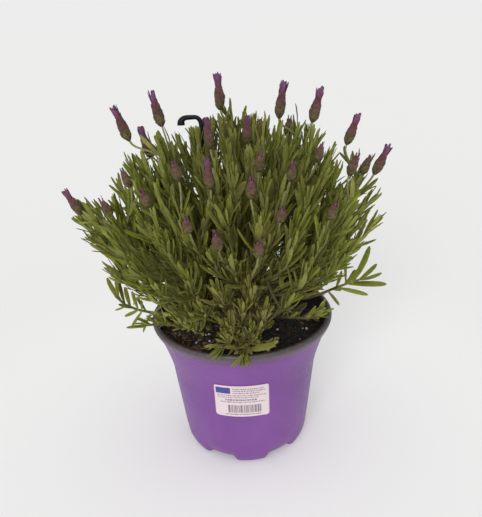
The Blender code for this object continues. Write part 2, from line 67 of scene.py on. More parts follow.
FEET = 6
FOOT_PHASE = math.radians(-87.0)
RECESS_LIFT = 0.0032
RECESS_IN = 0.031
DRAIN_RADIUS = 0.0032
DRAIN_AT = 0.0375
SOIL_TOP = 0.0985
SOIL_FLOOR = RECESS_LIFT + WALL + 0.0006
SOIL_LUMP = 0.0026
STICKER_MID = math.radians(-92.9)
STICKER_WIDTH = 0.0402
STICKER_LOW, STICKER_HIGH = 0.0499, 0.0796
STICKER_THICK = 0.0004
STAKE_X, STAKE_Y = -0.024, 0.030
STAKE_TOP = 0.2575
STAKE_RADIUS = 0.0017
STAKE_FOOT = 0.060
CROOK_RADIUS = 0.0075
CROWN_SIDES = 8
STUB_HALF = 0.0017
STEM_BASE, STEM_TIP = 0.0016, 0.0009
STALK = 0.0008
SPIKE_RADIUS = 0.0037
HEAD_LENGTH = 0.026

LOW_SHOOTS = (
    (1, 96, 132, 66),
    (42, 98, 146, 60),
    (92, 96, 142, 62),
    (138, 98, 148, 60),
    (197, 95, 140, 24),
    (228, 94, 138, 64),
    (271, 80, 119, 84),
    (318, 72, 128, 50),
)
MIDDLE_SHOOTS = (
    (12, 92, 200, 34),
    (58, 84, 200, 30),
    (104, 82, 198, 30),
    (148, 88, 200, 32),
    (193, 98, 190, 38),
    (236, 82, 192, 34),
    (282, 76, 186, 36),
    (328, 84, 190, 34),
)
TOP_SHOOTS = (
    (22, 48, 238, 14),
    (84, 36, 238, 12),
    (196, 50, 234, 16),
    (284, 36, 234, 16),
)
HEADS = (
    (178, 78, 258, 27),
    (171, 54, 266, 26),
    (125, 16, 275, 25),
    (18, 36, 268, 26),
    (7, 59, 264, 25),
    (1, 83, 247, 23),
    (357, 103, 226, 23),
    (186, 116, 207, 21),
    (172, 64, 243, 24),
    (346, 83, 228, 19),
    (1, 94, 222, 17),
    (32, 48, 248, 17),
    (300, 18, 253, 20),
    (229, 26, 252, 21),
    (233, 62, 236, 17),
    (255, 64, 235, 21),
    (286, 54, 240, 16),
    (277, 72, 229, 18),
    (344, 60, 236, 15),
    (303, 64, 233, 15),
    (198, 78, 226, 15),
    (224, 80, 221, 16),
    (250, 88, 211, 14),
    (262, 92, 203, 17),
    (288, 84, 214, 13),
    (277, 94, 198, 15),
    (312, 88, 210, 15),
    (200, 94, 209, 16),
    (70, 60, 238, 21),
    (108, 72, 230, 20),
    (142, 92, 212, 18),
    (44, 88, 216, 19),
    (88, 96, 204, 17),
)
rng = np.random.RandomState(7)


# ------------------------------------------------------------------ node helpers
class Mat:
    """A small helper around one Principled material."""

    def __init__(self, name):
        self.m = bpy.data.materials.new(name)
        self.m.use_nodes = True
        self.nt = self.m.node_tree
        self.p = self.nt.nodes["Principled BSDF"]

    def node(self, kind, **settings):
        n = self.nt.nodes.new(kind)
        for k, v in settings.items():
            if k in n.inputs.keys():
                n.inputs[k].default_value = v
            else:
                setattr(n, k, v)
        return n

    def link(self, a, b):
        self.nt.links.new(a, b)

    def coords(self, scale=(1, 1, 1)):
        tc = self.node("ShaderNodeTexCoord")
        mp = self.node("ShaderNodeMapping")
        mp.inputs["Scale"].default_value = scale
        self.link(tc.outputs["Object"], mp.inputs["Vector"])
        return mp.outputs["Vector"]

    def noise(self, vec, scale, detail=4.0, rough=0.55, distortion=0.0):
        n = self.node("ShaderNodeTexNoise")
        n.inputs["Scale"].default_value = scale
        n.inputs["Detail"].default_value = detail
        n.inputs["Roughness"].default_value = rough
        n.inputs["Distortion"].default_value = distortion
        self.link(vec, n.inputs["Vector"])
        return n.outputs["Fac"]

    def ramp(self, fac, stops, interp="LINEAR"):
        r = self.node("ShaderNodeValToRGB")
        r.color_ramp.interpolation = interp
        e = r.color_ramp.elements
        while len(e) > 2:
            e.remove(e[-1])
        e[0].position, e[0].color = stops[0][0], (*stops[0][1], 1.0)
        e[1].position, e[1].color = stops[-1][0], (*stops[-1][1], 1.0)
        for pos, col in stops[1:-1]:
            x = e.new(pos)
            x.color = (*col, 1.0)
        self.link(fac, r.inputs["Fac"])
        return r.outputs["Color"]

    def mix(self, fac, a, b, mode="MIX"):
        n = self.node("ShaderNodeMix")
        n.data_type = "RGBA"
        n.blend_type = mode
        n.clamp_result = True
        for sock, v in ((n.inputs[0], fac), (n.inputs[6], a), (n.inputs[7], b)):
            if isinstance(v, (int, float)):
                sock.default_value = v
            elif isinstance(v, tuple):
                sock.default_value = (*v, 1.0)
            else:
                self.link(v, sock)
        return n.outputs[2]

    def math(self, op, a, b=0.0, c=None, clamp=False):
        n = self.node("ShaderNodeMath")
        n.operation = op
        n.use_clamp = clamp
        vals = (a, b) if c is None else (a, b, c)
        for i, v in enumerate(vals):
            if isinstance(v, (int, float)):
                n.inputs[i].default_value = v
            else:
                self.link(v, n.inputs[i])
        return n.outputs[0]

    def range(self, v, a, b, c=0.0, d=1.0, smooth=False):
        n = self.node("ShaderNodeMapRange")
        n.interpolation_type = "SMOOTHSTEP" if smooth else "LINEAR"
        n.inputs["From Min"].default_value = a
        n.inputs["From Max"].default_value = b
        n.inputs["To Min"].default_value = c
        n.inputs["To Max"].default_value = d
        self.link(v, n.inputs["Value"])
        return n.outputs["Result"]

    def xyz(self, vec):
        n = self.node("ShaderNodeSeparateXYZ")
        self.link(vec, n.inputs[0])
        return n.outputs

    def attribute(self, name):
        n = self.node("ShaderNodeAttribute")
        n.attribute_name = name
        s = self.node("ShaderNodeSeparateColor")
        self.link(n.outputs["Color"], s.inputs["Color"])
        return s.outputs

    def shape_uv(self):
        n = self.node("ShaderNodeUVMap")
        n.uv_map = "shape"
        return self.xyz(n.outputs["UV"])

    def bump(self, height, strength, distance):
        n = self.node("ShaderNodeBump")
        n.inputs["Strength"].default_value = strength
        n.inputs["Distance"].default_value = distance
        self.link(height, n.inputs["Height"])
        self.link(n.outputs["Normal"], self.p.inputs["Normal"])

    def color(self, v):
        self.link(v, self.p.inputs["Base Color"])

    def rough(self, v):
        if isinstance(v, (int, float)):
            self.p.inputs["Roughness"].default_value = v
        else:
            self.link(v, self.p.inputs["Roughness"])


# ------------------------------------------------------------------ materials
def make_leaf_material():
    m = Mat("lavender_leaf")
    rnd, age, dull = m.attribute("tint")[:3]
    u, v = m.shape_uv()[:2]
    pos = m.coords()
    # age 0: old foliage deep in the bush, 1: fresh growth at the tips
    base = m.ramp(
        age,
        [
            (0.0, (0.070, 0.062, 0.014)),
            (0.35, (0.104, 0.106, 0.016)),
            (0.7, (0.126, 0.136, 0.017)),
            (1.0, (0.158, 0.168, 0.024)),
        ],
    )
    hue = m.ramp(
        rnd,
        [
            (0.0, (0.84, 0.66, 0.80)),
            (0.25, (0.90, 0.94, 0.84)),
            (0.7, (1.04, 1.08, 0.92)),
            (1.0, (1.30, 1.24, 1.30)),
        ],
    )
    col = m.mix(1.0, base, hue, "MULTIPLY")
    # the old leaves by the pot are felted and greyer
    col = m.mix(dull, col, m.mix(1.0, (0.185, 0.182, 0.056), hue, "MULTIPLY"))
    # painted light: leaves towards the sides of the bush are painted lighter and a clearer green than those in its
    # middle, as if they caught more sun
    x, z = m.math("ABSOLUTE", m.xyz(pos)[0]), m.xyz(pos)[2]
    col = m.mix(1.0, col, m.ramp(m.range(x, 0.015, 0.115), [(0.0, (0.89, 0.85, 0.89)), (0.55, (1.05, 1.17, 0.77)), (0.78, (1.03, 1.14, 0.77)), (1.0, (0.96, 1.04, 0.78))]), "MULTIPLY")
    # painted light and shade: leaves low around the pot are painted paler to lift the shade of the dome above them,
    # and the sky-lit leaves at the top a little deeper
    col = m.mix(
        1.0,
        col,
        m.ramp(
            m.range(z, 0.12, 0.24),
            [(0.0, (1.42, 1.42, 1.50)), (0.36, (1.04, 1.04, 1.01)), (0.62, (0.95, 0.95, 0.89)), (1.0, (0.82, 0.84, 0.70))],
        ),
        "MULTIPLY",
    )
    # withered leaves
    dead = m.range(age, -0.8, -0.2, 1.0, 0.0)
    col = m.mix(dead, col, m.ramp(rnd, [(0.0, (0.052, 0.043, 0.021)), (1.0, (0.128, 0.110, 0.050))]))
    # the far half of the unrolled strip is the felted, paler underside
    under = m.range(u, 0.50, 0.56, smooth=True)
    felt = m.mix(0.34, col, (0.185, 0.187, 0.058))
    col = m.mix(under, col, felt)
    # painted shade in the midrib groove, and a slightly pale rolled margin on the upper face
    across = m.math("ABSOLUTE", m.math("SUBTRACT", u, 0.25))
    rib = m.range(across, 0.0, 0.045, 1.0, 0.0, smooth=True)
    edge = m.range(across, 0.15, 0.25, 0.0, 1.0, smooth=True)
    col = m.mix(m.math("MULTIPLY", rib, 0.45), col, (0.045, 0.050, 0.010))
    col = m.mix(m.math("MULTIPLY", edge, 0.30), col, (0.230, 0.236, 0.074))
    # a paler foot and a browner tip, with blotches
    foot = m.range(v, 0.0, 0.16, 0.45, 0.0, smooth=True)
    col = m.mix(foot, col, (0.170, 0.176, 0.048))
    tip = m.range(v, 0.86, 1.0, 0.0, 0.60, smooth=True)
    dry = m.math("MULTIPLY", tip, m.range(rnd, 0.45, 0.9))
    col = m.mix(dry, col, (0.095, 0.060, 0.042))
    blotch = m.noise(pos, 420.0, 5.0, 0.6)
    col = m.mix(
        1.0,
        col,
        m.ramp(blotch, [(0.3, (0.76, 0.76, 0.74)), (0.7, (1.20, 1.19, 1.16))]),
        "MULTIPLY",
    )
    m.color(col)
    fuzz = m.noise(pos, 2600.0, 3.0, 0.7)
    m.rough(m.range(fuzz, 0.3, 0.7, 0.46, 0.72))
    groove = m.math("SUBTRACT", m.math("MULTIPLY", fuzz, 0.30), rib)
    m.bump(groove, 0.45, 0.00022)
    m.p.inputs["Specular IOR Level"].default_value = 0.14
    return m.m


def make_stem_material():
    """Square green stems that turn woody towards the crown (attribute age)."""
    m = Mat("lavender_stem")
    rnd, age, kind = m.attribute("tint")[:3]
    pos = m.coords((1.0, 1.0, 0.25))
    fibre = m.noise(pos, 900.0, 5.0, 0.6)
    grain = m.mix(
        1.0,
        m.ramp(
            age,
            [
                (0.0, (0.055, 0.036, 0.020)),
                (0.30, (0.086, 0.064, 0.030)),
                (0.52, (0.110, 0.108, 0.034)),
                (1.0, (0.205, 0.212, 0.088)),
            ],
        ),
        m.ramp(fibre, [(0.3, (0.72, 0.72, 0.72)), (0.72, (1.22, 1.20, 1.16))]),
        "MULTIPLY",
    )
    flush = m.math("MULTIPLY", m.range(m.noise(pos, 70.0, 2.0), 0.52, 0.7), 0.35)
    grain = m.mix(flush, grain, (0.130, 0.062, 0.046))
    m.color(grain)
    m.rough(m.range(fibre, 0.3, 0.7, 0.55, 0.8))
    m.bump(fibre, 0.5, 0.0003)
    m.p.inputs["Specular IOR Level"].default_value = 0.20
    return m.m


def make_bark_material():
    m = Mat("woody_crown_bark")
    pos = m.coords((1.0, 1.0, 0.35))
    a = m.noise(pos, 320.0, 8.0, 0.65, 0.6)
    b = m.noise(pos, 60.0, 3.0, 0.5)
    col = m.ramp(
        a,
        [
            (0.30, (0.045, 0.030, 0.020)),
            (0.46, (0.120, 0.085, 0.055)),
            (0.60, (0.200, 0.155, 0.105)),
            (0.75, (0.300, 0.255, 0.190)),
        ],
    )
    col = m.mix(m.range(b, 0.45, 0.7, 0.0, 0.5), col, (0.085, 0.085, 0.055))
    m.color(col)
    m.rough(m.range(a, 0.3, 0.7, 0.7, 0.95))
    m.bump(a, 0.9, 0.0009)
    return m.m


def make_spike_material():
    """Scales of the flower spike.  tint: random, height in the head, ripeness."""
    m = Mat("flower_scale")
    rnd, high, ripe = m.attribute("tint")[:3]
    u, v = m.shape_uv()[:2]
    pos = m.coords()
    col = m.ramp(
        high,
        [
            (0.0, (0.092, 0.092, 0.023)),
            (0.20, (0.084, 0.070, 0.025)),
            (0.40, (0.078, 0.042, 0.030)),
            (0.65, (0.084, 0.028, 0.037)),
            (1.0, (0.102, 0.029, 0.052)),
        ],
    )
    # unripe heads keep more green
    green = m.ramp(
        high,
        [
            (0.0, (0.096, 0.098, 0.022)),
            (0.40, (0.098, 0.080, 0.026)),
            (0.75, (0.104, 0.054, 0.038)),
            (1.0, (0.112, 0.050, 0.052)),
        ],
    )
    col = m.mix(ripe, green, col)
    across = m.math("ABSOLUTE", m.math("SUBTRACT", u, 0.25))
    rim = m.range(across, 0.14, 0.24, 0.0, 1.0, smooth=True)
    tip = m.range(v, 0.66, 1.0, 0.0, 1.0, smooth=True)
    edge = m.math("MAXIMUM", rim, tip)
    col = m.mix(m.math("MULTIPLY", edge, 0.30), col, (0.150, 0.068, 0.070))
    # painted shade at the foot of each scale, where it tucks under the scale above
    dark = m.range(v, 0.0, 0.40, 0.55, 0.0, smooth=True)
    col = m.mix(dark, col, (0.030, 0.018, 0.012))
    vein = m.range(across, 0.0, 0.03, 0.5, 0.0, smooth=True)
    col = m.mix(vein, col, (0.040, 0.022, 0.016))
    stripe = m.node("ShaderNodeTexWave")
    stripe.inputs["Scale"].default_value = 16.0
    stripe.inputs["Distortion"].default_value = 1.2
    uv = m.node("ShaderNodeUVMap")
    uv.uv_map = "shape"
    m.link(uv.outputs["UV"], stripe.inputs["Vector"])
    col = m.mix(
        m.math("MULTIPLY", stripe.outputs["Fac"], 0.25), col, (0.050, 0.028, 0.022)
    )
    mottle = m.noise(pos, 1300.0, 4.0, 0.6)
    col = m.mix(
        1.0,
        col,
        m.ramp(mottle, [(0.3, (0.74, 0.74, 0.74)), (0.7, (1.24, 1.20, 1.22))]),
        "MULTIPLY",
    )
    shade = m.ramp(rnd, [(0.0, (0.74, 0.74, 0.74)), (1.0, (1.28, 1.22, 1.28))])
    m.color(m.mix(1.0, col, shade, "MULTIPLY"))
    m.rough(m.range(mottle, 0.3, 0.7, 0.50, 0.78))
    m.bump(m.math("ADD", mottle, stripe.outputs["Fac"]), 0.45, 0.00018)
    m.p.inputs["Specular IOR Level"].default_value = 0.22
    m.p.inputs["Sheen Weight"].default_value = 0.05
    m.p.inputs["Sheen Roughness"].default_value = 0.5
    m.p.inputs["Sheen Tint"].default_value = (0.9, 0.7, 0.8, 1.0)
    return m.m


def make_tuft_material():
    """Thin magenta bracts at the top of a head."""
    m = Mat("flower_tuft")
    rnd, high, ripe = m.attribute("tint")[:3]
    u, v = m.shape_uv()[:2]
    pos = m.coords()
    col = m.ramp(
        v,
        [
            (0.0, (0.098, 0.027, 0.045)),
            (0.30, (0.110, 0.027, 0.060)),
            (0.65, (0.128, 0.035, 0.088)),
            (0.88, (0.150, 0.055, 0.126)),
            (1.0, (0.070, 0.034, 0.056)),
        ],
    )
    pale = m.ramp(
        v,
        [
            (0.0, (0.105, 0.088, 0.030)),
            (0.5, (0.108, 0.058, 0.038)),
            (0.85, (0.120, 0.056, 0.064)),
            (1.0, (0.075, 0.040, 0.044)),
        ],
    )
    col = m.mix(ripe, pale, col)
    # some bracts lean to violet, some to wine red
    shift = m.ramp(rnd, [(0.0, (0.84, 0.94, 1.16)), (0.5, (1.0, 1.0, 1.0)), (1.0, (1.12, 0.94, 0.84))])
    col = m.mix(1.0, col, shift, "MULTIPLY")
    wave = m.node("ShaderNodeTexWave")
    wave.inputs["Scale"].default_value = 22.0
    wave.inputs["Distortion"].default_value = 2.0
    uv = m.node("ShaderNodeUVMap")
    uv.uv_map = "shape"
    m.link(uv.outputs["UV"], wave.inputs["Vector"])
    col = m.mix(m.math("MULTIPLY", wave.outputs["Fac"], 0.35), col, (0.055, 0.012, 0.034))
    mottle = m.noise(pos, 900.0, 3.0)
    col = m.mix(
        1.0,
        col,
        m.ramp(mottle, [(0.3, (0.76, 0.74, 0.78)), (0.7, (1.24, 1.2, 1.24))]),
        "MULTIPLY",
    )
    m.color(col)
    m.rough(0.55)
    m.bump(wave.outputs["Fac"], 0.3, 0.00012)
    m.p.inputs["Specular IOR Level"].default_value = 0.30
    m.p.inputs["Sheen Weight"].default_value = 0.04
    return m.m


def make_soil_material():
    """Damp peat with crumbs.  tint.g chooses peat, bark or perlite."""
    m = Mat("potting_soil")
    rnd, kind, wet = m.attribute("tint")[:3]
    pos = m.coords()
    a = m.noise(pos, 500.0, 8.0, 0.7)
    b = m.noise(pos, 90.0, 4.0, 0.6)
    peat = m.ramp(
        a,
        [
            (0.30, (0.0035, 0.0026, 0.0020)),
            (0.48, (0.013, 0.009, 0.006)),
            (0.62, (0.040, 0.026, 0.015)),
            (0.76, (0.095, 0.062, 0.035)),
        ],
    )
    peat = m.mix(m.range(b, 0.45, 0.72, 0.0, 0.55), peat, (0.030, 0.020, 0.012))
    peat = m.mix(
        1.0, peat, m.ramp(rnd, [(0.0, (0.6, 0.6, 0.6)), (1.0, (1.7, 1.6, 1.5))]), "MULTIPLY"
    )
    # darker, nearly black, towards the right
    x = m.xyz(pos)[0]
    peat = m.mix(m.range(x, -0.015, 0.030, 0.0, 0.60, smooth=True), peat, (0.006, 0.004, 0.0045))
    bark = m.ramp(
        a,
        [(0.3, (0.050, 0.028, 0.014)), (0.55, (0.150, 0.088, 0.045)), (0.75, (0.300, 0.190, 0.105))],
    )
    grit = m.ramp(a, [(0.3, (0.36, 0.33, 0.28)), (0.7, (0.66, 0.63, 0.56))])
    col = m.mix(m.range(kind, 0.25, 0.35), peat, bark)
    col = m.mix(m.range(kind, 0.70, 0.80), col, grit)
    m.color(col)
    m.rough(m.range(a, 0.3, 0.7, 0.65, 0.98))
    m.bump(a, 0.8, 0.0008)
    return m.m


def make_pot_material():
    """Thermoformed plastic: purple outside that fades into the dark rim band."""
    m = Mat("pot_outside")
    pos = m.coords()
    x, y, z = m.xyz(pos)[:3]
    broad = m.noise(pos, 22.0, 3.0, 0.5)
    fine = m.noise(pos, 380.0, 4.0, 0.6)
    streak = m.noise(m.coords((1.0, 1.0, 0.04)), 160.0, 4.0, 0.6)
    col = m.ramp(
        broad,
        [
            (0.30, (0.120, 0.031, 0.187)),
            (0.50, (0.134, 0.036, 0.208)),
            (0.70, (0.150, 0.043, 0.228)),
        ],
    )
    col = m.mix(m.range(streak, 0.50, 0.75, 0.0, 0.20), col, (0.172, 0.056, 0.242))
    # drawn thinner, so a little paler and pinker, towards the base
    col = m.mix(m.range(z, 0.004, 0.05, 0.20, 0.0, smooth=True), col, (0.166, 0.048, 0.222))
    edge = POT_HEIGHT - RIM_BAND
    wobble = m.math("MULTIPLY", m.math("SUBTRACT", broad, 0.5), 0.0030)
    line = m.math("ADD", z, wobble)
    band = m.range(line, edge - 0.0022, edge + 0.0062)
    band_col = m.ramp(
        fine,
        [
            (0.30, (0.054, 0.037, 0.042)),
            (0.50, (0.075, 0.053, 0.060)),
            (0.72, (0.104, 0.077, 0.084)),
        ],
    )
    col = m.mix(band, col, band_col)
    col = m.mix(m.range(z, POT_HEIGHT - 0.0042, POT_HEIGHT - 0.0006, 0.0, 0.72, smooth=True), col, (0.036, 0.027, 0.029))
    # scuffs: pale specks and thin scratches
    scratch = m.noise(m.coords((1.0, 1.0, 6.0)), 55.0, 6.0, 0.75, 1.5)
    scuff = m.range(scratch, 0.64, 0.70, 0.0, 0.35)
    col = m.mix(scuff, col, (0.215, 0.110, 0.270))
    dust = m.noise(pos, 1500.0, 2.0)
    col = m.mix(m.range(dust, 0.70, 0.76, 0.0, 0.30), col, (0.29, 0.21, 0.32))
    m.color(col)
    m.rough(m.math("ADD", m.range(fine, 0.3, 0.7, 0.36, 0.50), m.math("MULTIPLY", scuff, 0.4)))
    m.bump(m.math("ADD", m.math("MULTIPLY", fine, 0.25), streak), 0.12, 0.0005)
    m.p.inputs["Specular IOR Level"].default_value = 0.60
    return m.m


def make_inside_material():
    m = Mat("pot_inside")
    pos = m.coords()
    fine = m.noise(pos, 260.0, 5.0, 0.65)
    z = m.xyz(pos)[2]
    col = m.ramp(fine, [(0.3, (0.010, 0.009, 0.009)), (0.7, (0.030, 0.026, 0.025))])
    # dried soil splashes below the rim
    splash = m.noise(pos, 120.0, 6.0, 0.7)
    low = m.range(z, POT_HEIGHT - 0.012, POT_HEIGHT - 0.002, 1.0, 0.0, smooth=True)
    mud = m.math("MULTIPLY", m.range(splash, 0.50, 0.62), low)
    col = m.mix(m.math("MULTIPLY", mud, 0.7), col, (0.060, 0.040, 0.025))
    m.color(col)
    m.rough(m.range(fine, 0.3, 0.7, 0.38, 0.65))
    m.bump(m.math("ADD", fine, mud), 0.3, 0.0004)
    return m.m


def make_rim_material():
    m = Mat("pot_rim")
    pos = m.coords()
    fine = m.noise(pos, 420.0, 4.0, 0.6)
    broad = m.noise(pos, 30.0, 3.0)
    col = m.ramp(
        fine,
        [
            (0.28, (0.030, 0.021, 0.023)),
            (0.50, (0.047, 0.034, 0.037)),
            (0.74, (0.078, 0.058, 0.061)),
        ],
    )
    col = m.mix(m.range(broad, 0.45, 0.7, 0.0, 0.5), col, (0.076, 0.056, 0.066))
    dust = m.noise(pos, 1100.0, 3.0, 0.7)
    col = m.mix(m.range(dust, 0.60, 0.72, 0.0, 0.4), col, (0.15, 0.12, 0.10))
    # damp soil smeared over the inner half of the lip at the front left
    x, y, z = m.xyz(pos)[:3]
    out = m.math("SQRT", m.math("ADD", m.math("MULTIPLY", x, x), m.math("MULTIPLY", y, y)))
    out = m.math("ADD", out, m.math("MULTIPLY", m.math("SUBTRACT", m.noise(pos, 95.0, 5.0, 0.7), 0.5), 0.0045))
    # the inner half of the lip is darkened, most of all on the right
    lip = m.range(out, RIM_RADIUS - 0.0027, RIM_RADIUS - 0.0004, 1.0, 0.0, smooth=True)
    col = m.mix(m.math("MULTIPLY", lip, m.range(x, -0.050, 0.030, 0.35, 0.88)), col, (0.014, 0.010, 0.010))
    lean = m.math("ADD", m.math("MULTIPLY", x, -0.62), m.math("MULTIPLY", y, -0.78))
    here = m.range(lean, 0.050, 0.062, smooth=True)
    smear = m.math("MULTIPLY", here, m.range(out, RIM_RADIUS - 0.0028, RIM_RADIUS - 0.0014, 1.0, 0.0, smooth=True))
    col = m.mix(m.math("MULTIPLY", smear, 0.85), col, (0.030, 0.020, 0.012))
    m.color(col)
    m.rough(m.range(fine, 0.3, 0.7, 0.40, 0.62))
    m.bump(fine, 0.25, 0.0004)
    return m.m


def make_stake_material():
    m = Mat("stake_plastic")
    pos = m.coords()
    fine = m.noise(pos, 700.0, 4.0, 0.6)
    long = m.noise(m.coords((1.0, 1.0, 0.05)), 500.0, 3.0)
    col = m.ramp(fine, [(0.3, (0.003, 0.003, 0.004)), (0.7, (0.009, 0.008, 0.009))])
    col = m.mix(m.range(long, 0.55, 0.75, 0.0, 0.25), col, (0.020, 0.019, 0.020))
    m.color(col)
    m.rough(m.range(fine, 0.3, 0.7, 0.42, 0.60))
    m.bump(fine, 0.2, 0.0003)
    m.p.inputs["Specular IOR Level"].default_value = 0.15
    return m.m


def make_sticker_material():
    """White coated paper with plain rules, a plain block and plain bars: no words."""
    m = Mat("sticker_print")
    u, v = m.shape_uv()[:2]
    pos = m.coords()
    grain = m.noise(pos, 900.0, 4.0, 0.6)
    col = m.ramp(grain, [(0.3, (0.53, 0.445, 0.470)), (0.7, (0.60, 0.505, 0.528))])

    def inside(a, lo, hi, soft=0.004):
        up = m.range(a, lo - soft, lo + soft)
        down = m.range(a, hi - soft, hi + soft, 1.0, 0.0)
        return m.math("MULTIPLY", up, down)

    def field(u0, u1, v0, v1):
        return m.math("MULTIPLY", inside(u, u0, u1), inside(v, v0, v1))

    ink = (0.040, 0.032, 0.056)
    # plain block at the upper left
    block = field(0.030, 0.300, 0.730, 0.935)
    wash = m.noise(pos, 300.0, 3.0)
    block_col = m.ramp(wash, [(0.3, (0.026, 0.030, 0.180)), (0.7, (0.046, 0.046, 0.250))])
    col = m.mix(block, col, block_col)
    # plain broken rules, and plain upright bars of uneven width
    def broken(row, scale, level):
        cut = m.node("ShaderNodeTexNoise")
        cut.noise_dimensions = "1D"
        cut.inputs["Scale"].default_value = scale
        cut.inputs["Detail"].default_value = 0.0
        m.link(m.math("ADD", u, row * 1.37), cut.inputs["W"])
        return m.range(cut.outputs["Fac"], level, level + 0.02)

    for row, (u0, u1, v0, v1, ink_share) in enumerate((
        (0.34, 0.90, 0.875, 0.915, 0.75),
        (0.34, 0.94, 0.805, 0.845, 0.75),
        (0.34, 0.82, 0.735, 0.770, 0.75),
        (0.05, 0.95, 0.655, 0.690, 0.75),
        (0.05, 0.80, 0.595, 0.625, 0.75),
        (0.20, 0.78, 0.510, 0.560, 0.85),
        (0.10, 0.92, 0.450, 0.480, 0.80),
        (0.18, 0.84, 0.055, 0.090, 0.80),
    )):
        dash = m.math("MULTIPLY", field(u0, u1, v0, v1), broken(row + 1.0, 70.0, 0.44))
        col = m.mix(m.math("MULTIPLY", dash, ink_share), col, ink)
    bar = m.math("MULTIPLY", broken(0.0, 78.0, 0.49), field(0.24, 0.85, 0.125, 0.375))
    col = m.mix(m.math("MULTIPLY", bar, 0.92), col, ink)
    # pinkish grey wear along the outline
    near = m.math("MINIMUM", m.math("MINIMUM", u, m.math("SUBTRACT", 1.0, u)), m.math("MINIMUM", v, m.math("SUBTRACT", 1.0, v)))
    worn = m.range(near, 0.0, 0.03, 0.5, 0.0, smooth=True)
    col = m.mix(worn, col, (0.44, 0.34, 0.42))
    m.color(col)
    m.rough(m.range(grain, 0.3, 0.7, 0.34, 0.5))
    m.bump(grain, 0.10, 0.0002)
    return m.m


# the open sky of the studio, the key light's strength and height, and the floor
# tone at which floor and sky are equally bright, so that no horizon shows
SKY = 0.845
KEY = 2.3
KEY_RISE = math.radians(23.0)
KEY_TURN = math.radians(-102.0)
FLOOR = SKY / (SKY + KEY * math.sin(KEY_RISE) / math.pi)


def make_floor_material():
    m = Mat("studio_floor")
    pos = m.coords()
    n = m.noise(pos, 3.0, 3.0)
    col = m.ramp(n, [(0.3, (FLOOR - 0.002,) * 3), (0.7, (FLOOR + 0.002,) * 3)])
    # painted light: the floor is painted a little paler around the pot, which lifts the shade at its foot
    x, y = m.xyz(pos)[:2]
    far = m.math("SQRT", m.math("ADD", m.math("MULTIPLY", x, x), m.math("MULTIPLY", y, y)))
    near = m.range(far, 0.08, 0.40, 1.0, 0.0, smooth=True)
    m.color(m.mix(near, col, (FLOOR * 1.10,) * 3))
    m.rough(1.0)
    m.p.inputs["Specular IOR Level"].default_value = 0.0
    return m.m


# ------------------------------------------------------------------ mesh builder
class Build:
    """Collects closed parts of one piece, each with its own cell in the bake map."""

    def __init__(self):
        self.v, self.f, self.uv, self.cell, self.tint, self.mat = [], [], [], [], [], []
        self.count = 0
        self.cells = 0

    def add(self, verts, faces, uvs, tint, mat, cells=None):
        """verts (n,3); faces list of index tuples; uvs list per face of (u,v) corners;
        tint (n,3); cells: number of the part for each face, or None for one part."""
        off = self.count
        self.v.append(np.asarray(verts, np.float32).reshape(-1, 3))
        self.f += [tuple(i + off for i in f) for f in faces]
        self.uv += uvs
        if cells is None:
            self.cell += [self.cells] * len(faces)
            self.cells += 1
        else:
            self.cell += [self.cells + c for c in cells]
            self.cells += max(cells) + 1
        t = np.asarray(tint, np.float32)
        if t.ndim == 1:
            t = np.tile(t, (len(self.v[-1]), 1))
        self.tint.append(t)
        self.mat += [mat] * len(faces)
        self.count += len(self.v[-1])

    def object(self, name, mats, angle=40.0, flat=False):
        me = bpy.data.meshes.new(name)
        verts = np.concatenate(self.v)
        me.from_pydata(verts.tolist(), [], self.f)
        for m in mats:
            me.materials.append(m)
        me.polygons.foreach_set("material_index", np.array(self.mat, np.int32))
        shape = me.uv_layers.new(name="shape")
        bake = me.uv_layers.new(name="OFBake")
        flat_uv = np.array([c for face in self.uv for c in face], np.float32)
        sizes = np.array([len(face) for face in self.uv])
        shape.data.foreach_set("uv", flat_uv.ravel())
        side = max(1, math.ceil(math.sqrt(self.cells)))
        cell = np.repeat(np.array(self.cell), sizes)
        margin = min(0.06, 0.03 * side ** 0.35) if side > 1 else 0.01
        place = np.stack([cell % side, cell // side], 1)
        bake_uv = (place + margin + flat_uv * (1.0 - 2.0 * margin)) / side
        bake.data.foreach_set("uv", bake_uv.astype(np.float32).ravel())
        me.uv_layers.active = shape
        shape.active_render = True
        att = me.color_attributes.new("tint", "FLOAT_COLOR", "POINT")
        t = np.concatenate(self.tint)
        att.data.foreach_set("color", np.c_[t, np.ones(len(t))].astype(np.float32).ravel())
        me.validate()
        me.update()
        if flat:
            me.shade_flat()
        else:
            me.shade_smooth()
            me.set_sharp_from_angle(angle=math.radians(angle))
        ob = bpy.data.objects.new(name, me)
        bpy.context.scene.collection.objects.link(ob)
        return ob


def unit(a):
    return a / np.maximum(np.linalg.norm(a, axis=-1, keepdims=True), 1e-12)


LEAF_SHAPE = ((0.0, 0.36), (0.14, 0.56), (0.38, 0.90), (0.64, 1.0), (0.85, 0.84), (0.955, 0.48))
SCALE_SHAPE = ((0.0, 0.62), (0.22, 0.92), (0.46, 1.0), (0.68, 0.84), (0.86, 0.50), (0.95, 0.24))
TUFT_SHAPE = ((0.0, 0.50), (0.22, 0.76), (0.48, 0.95), (0.72, 1.0), (0.89, 0.84), (0.965, 0.52))


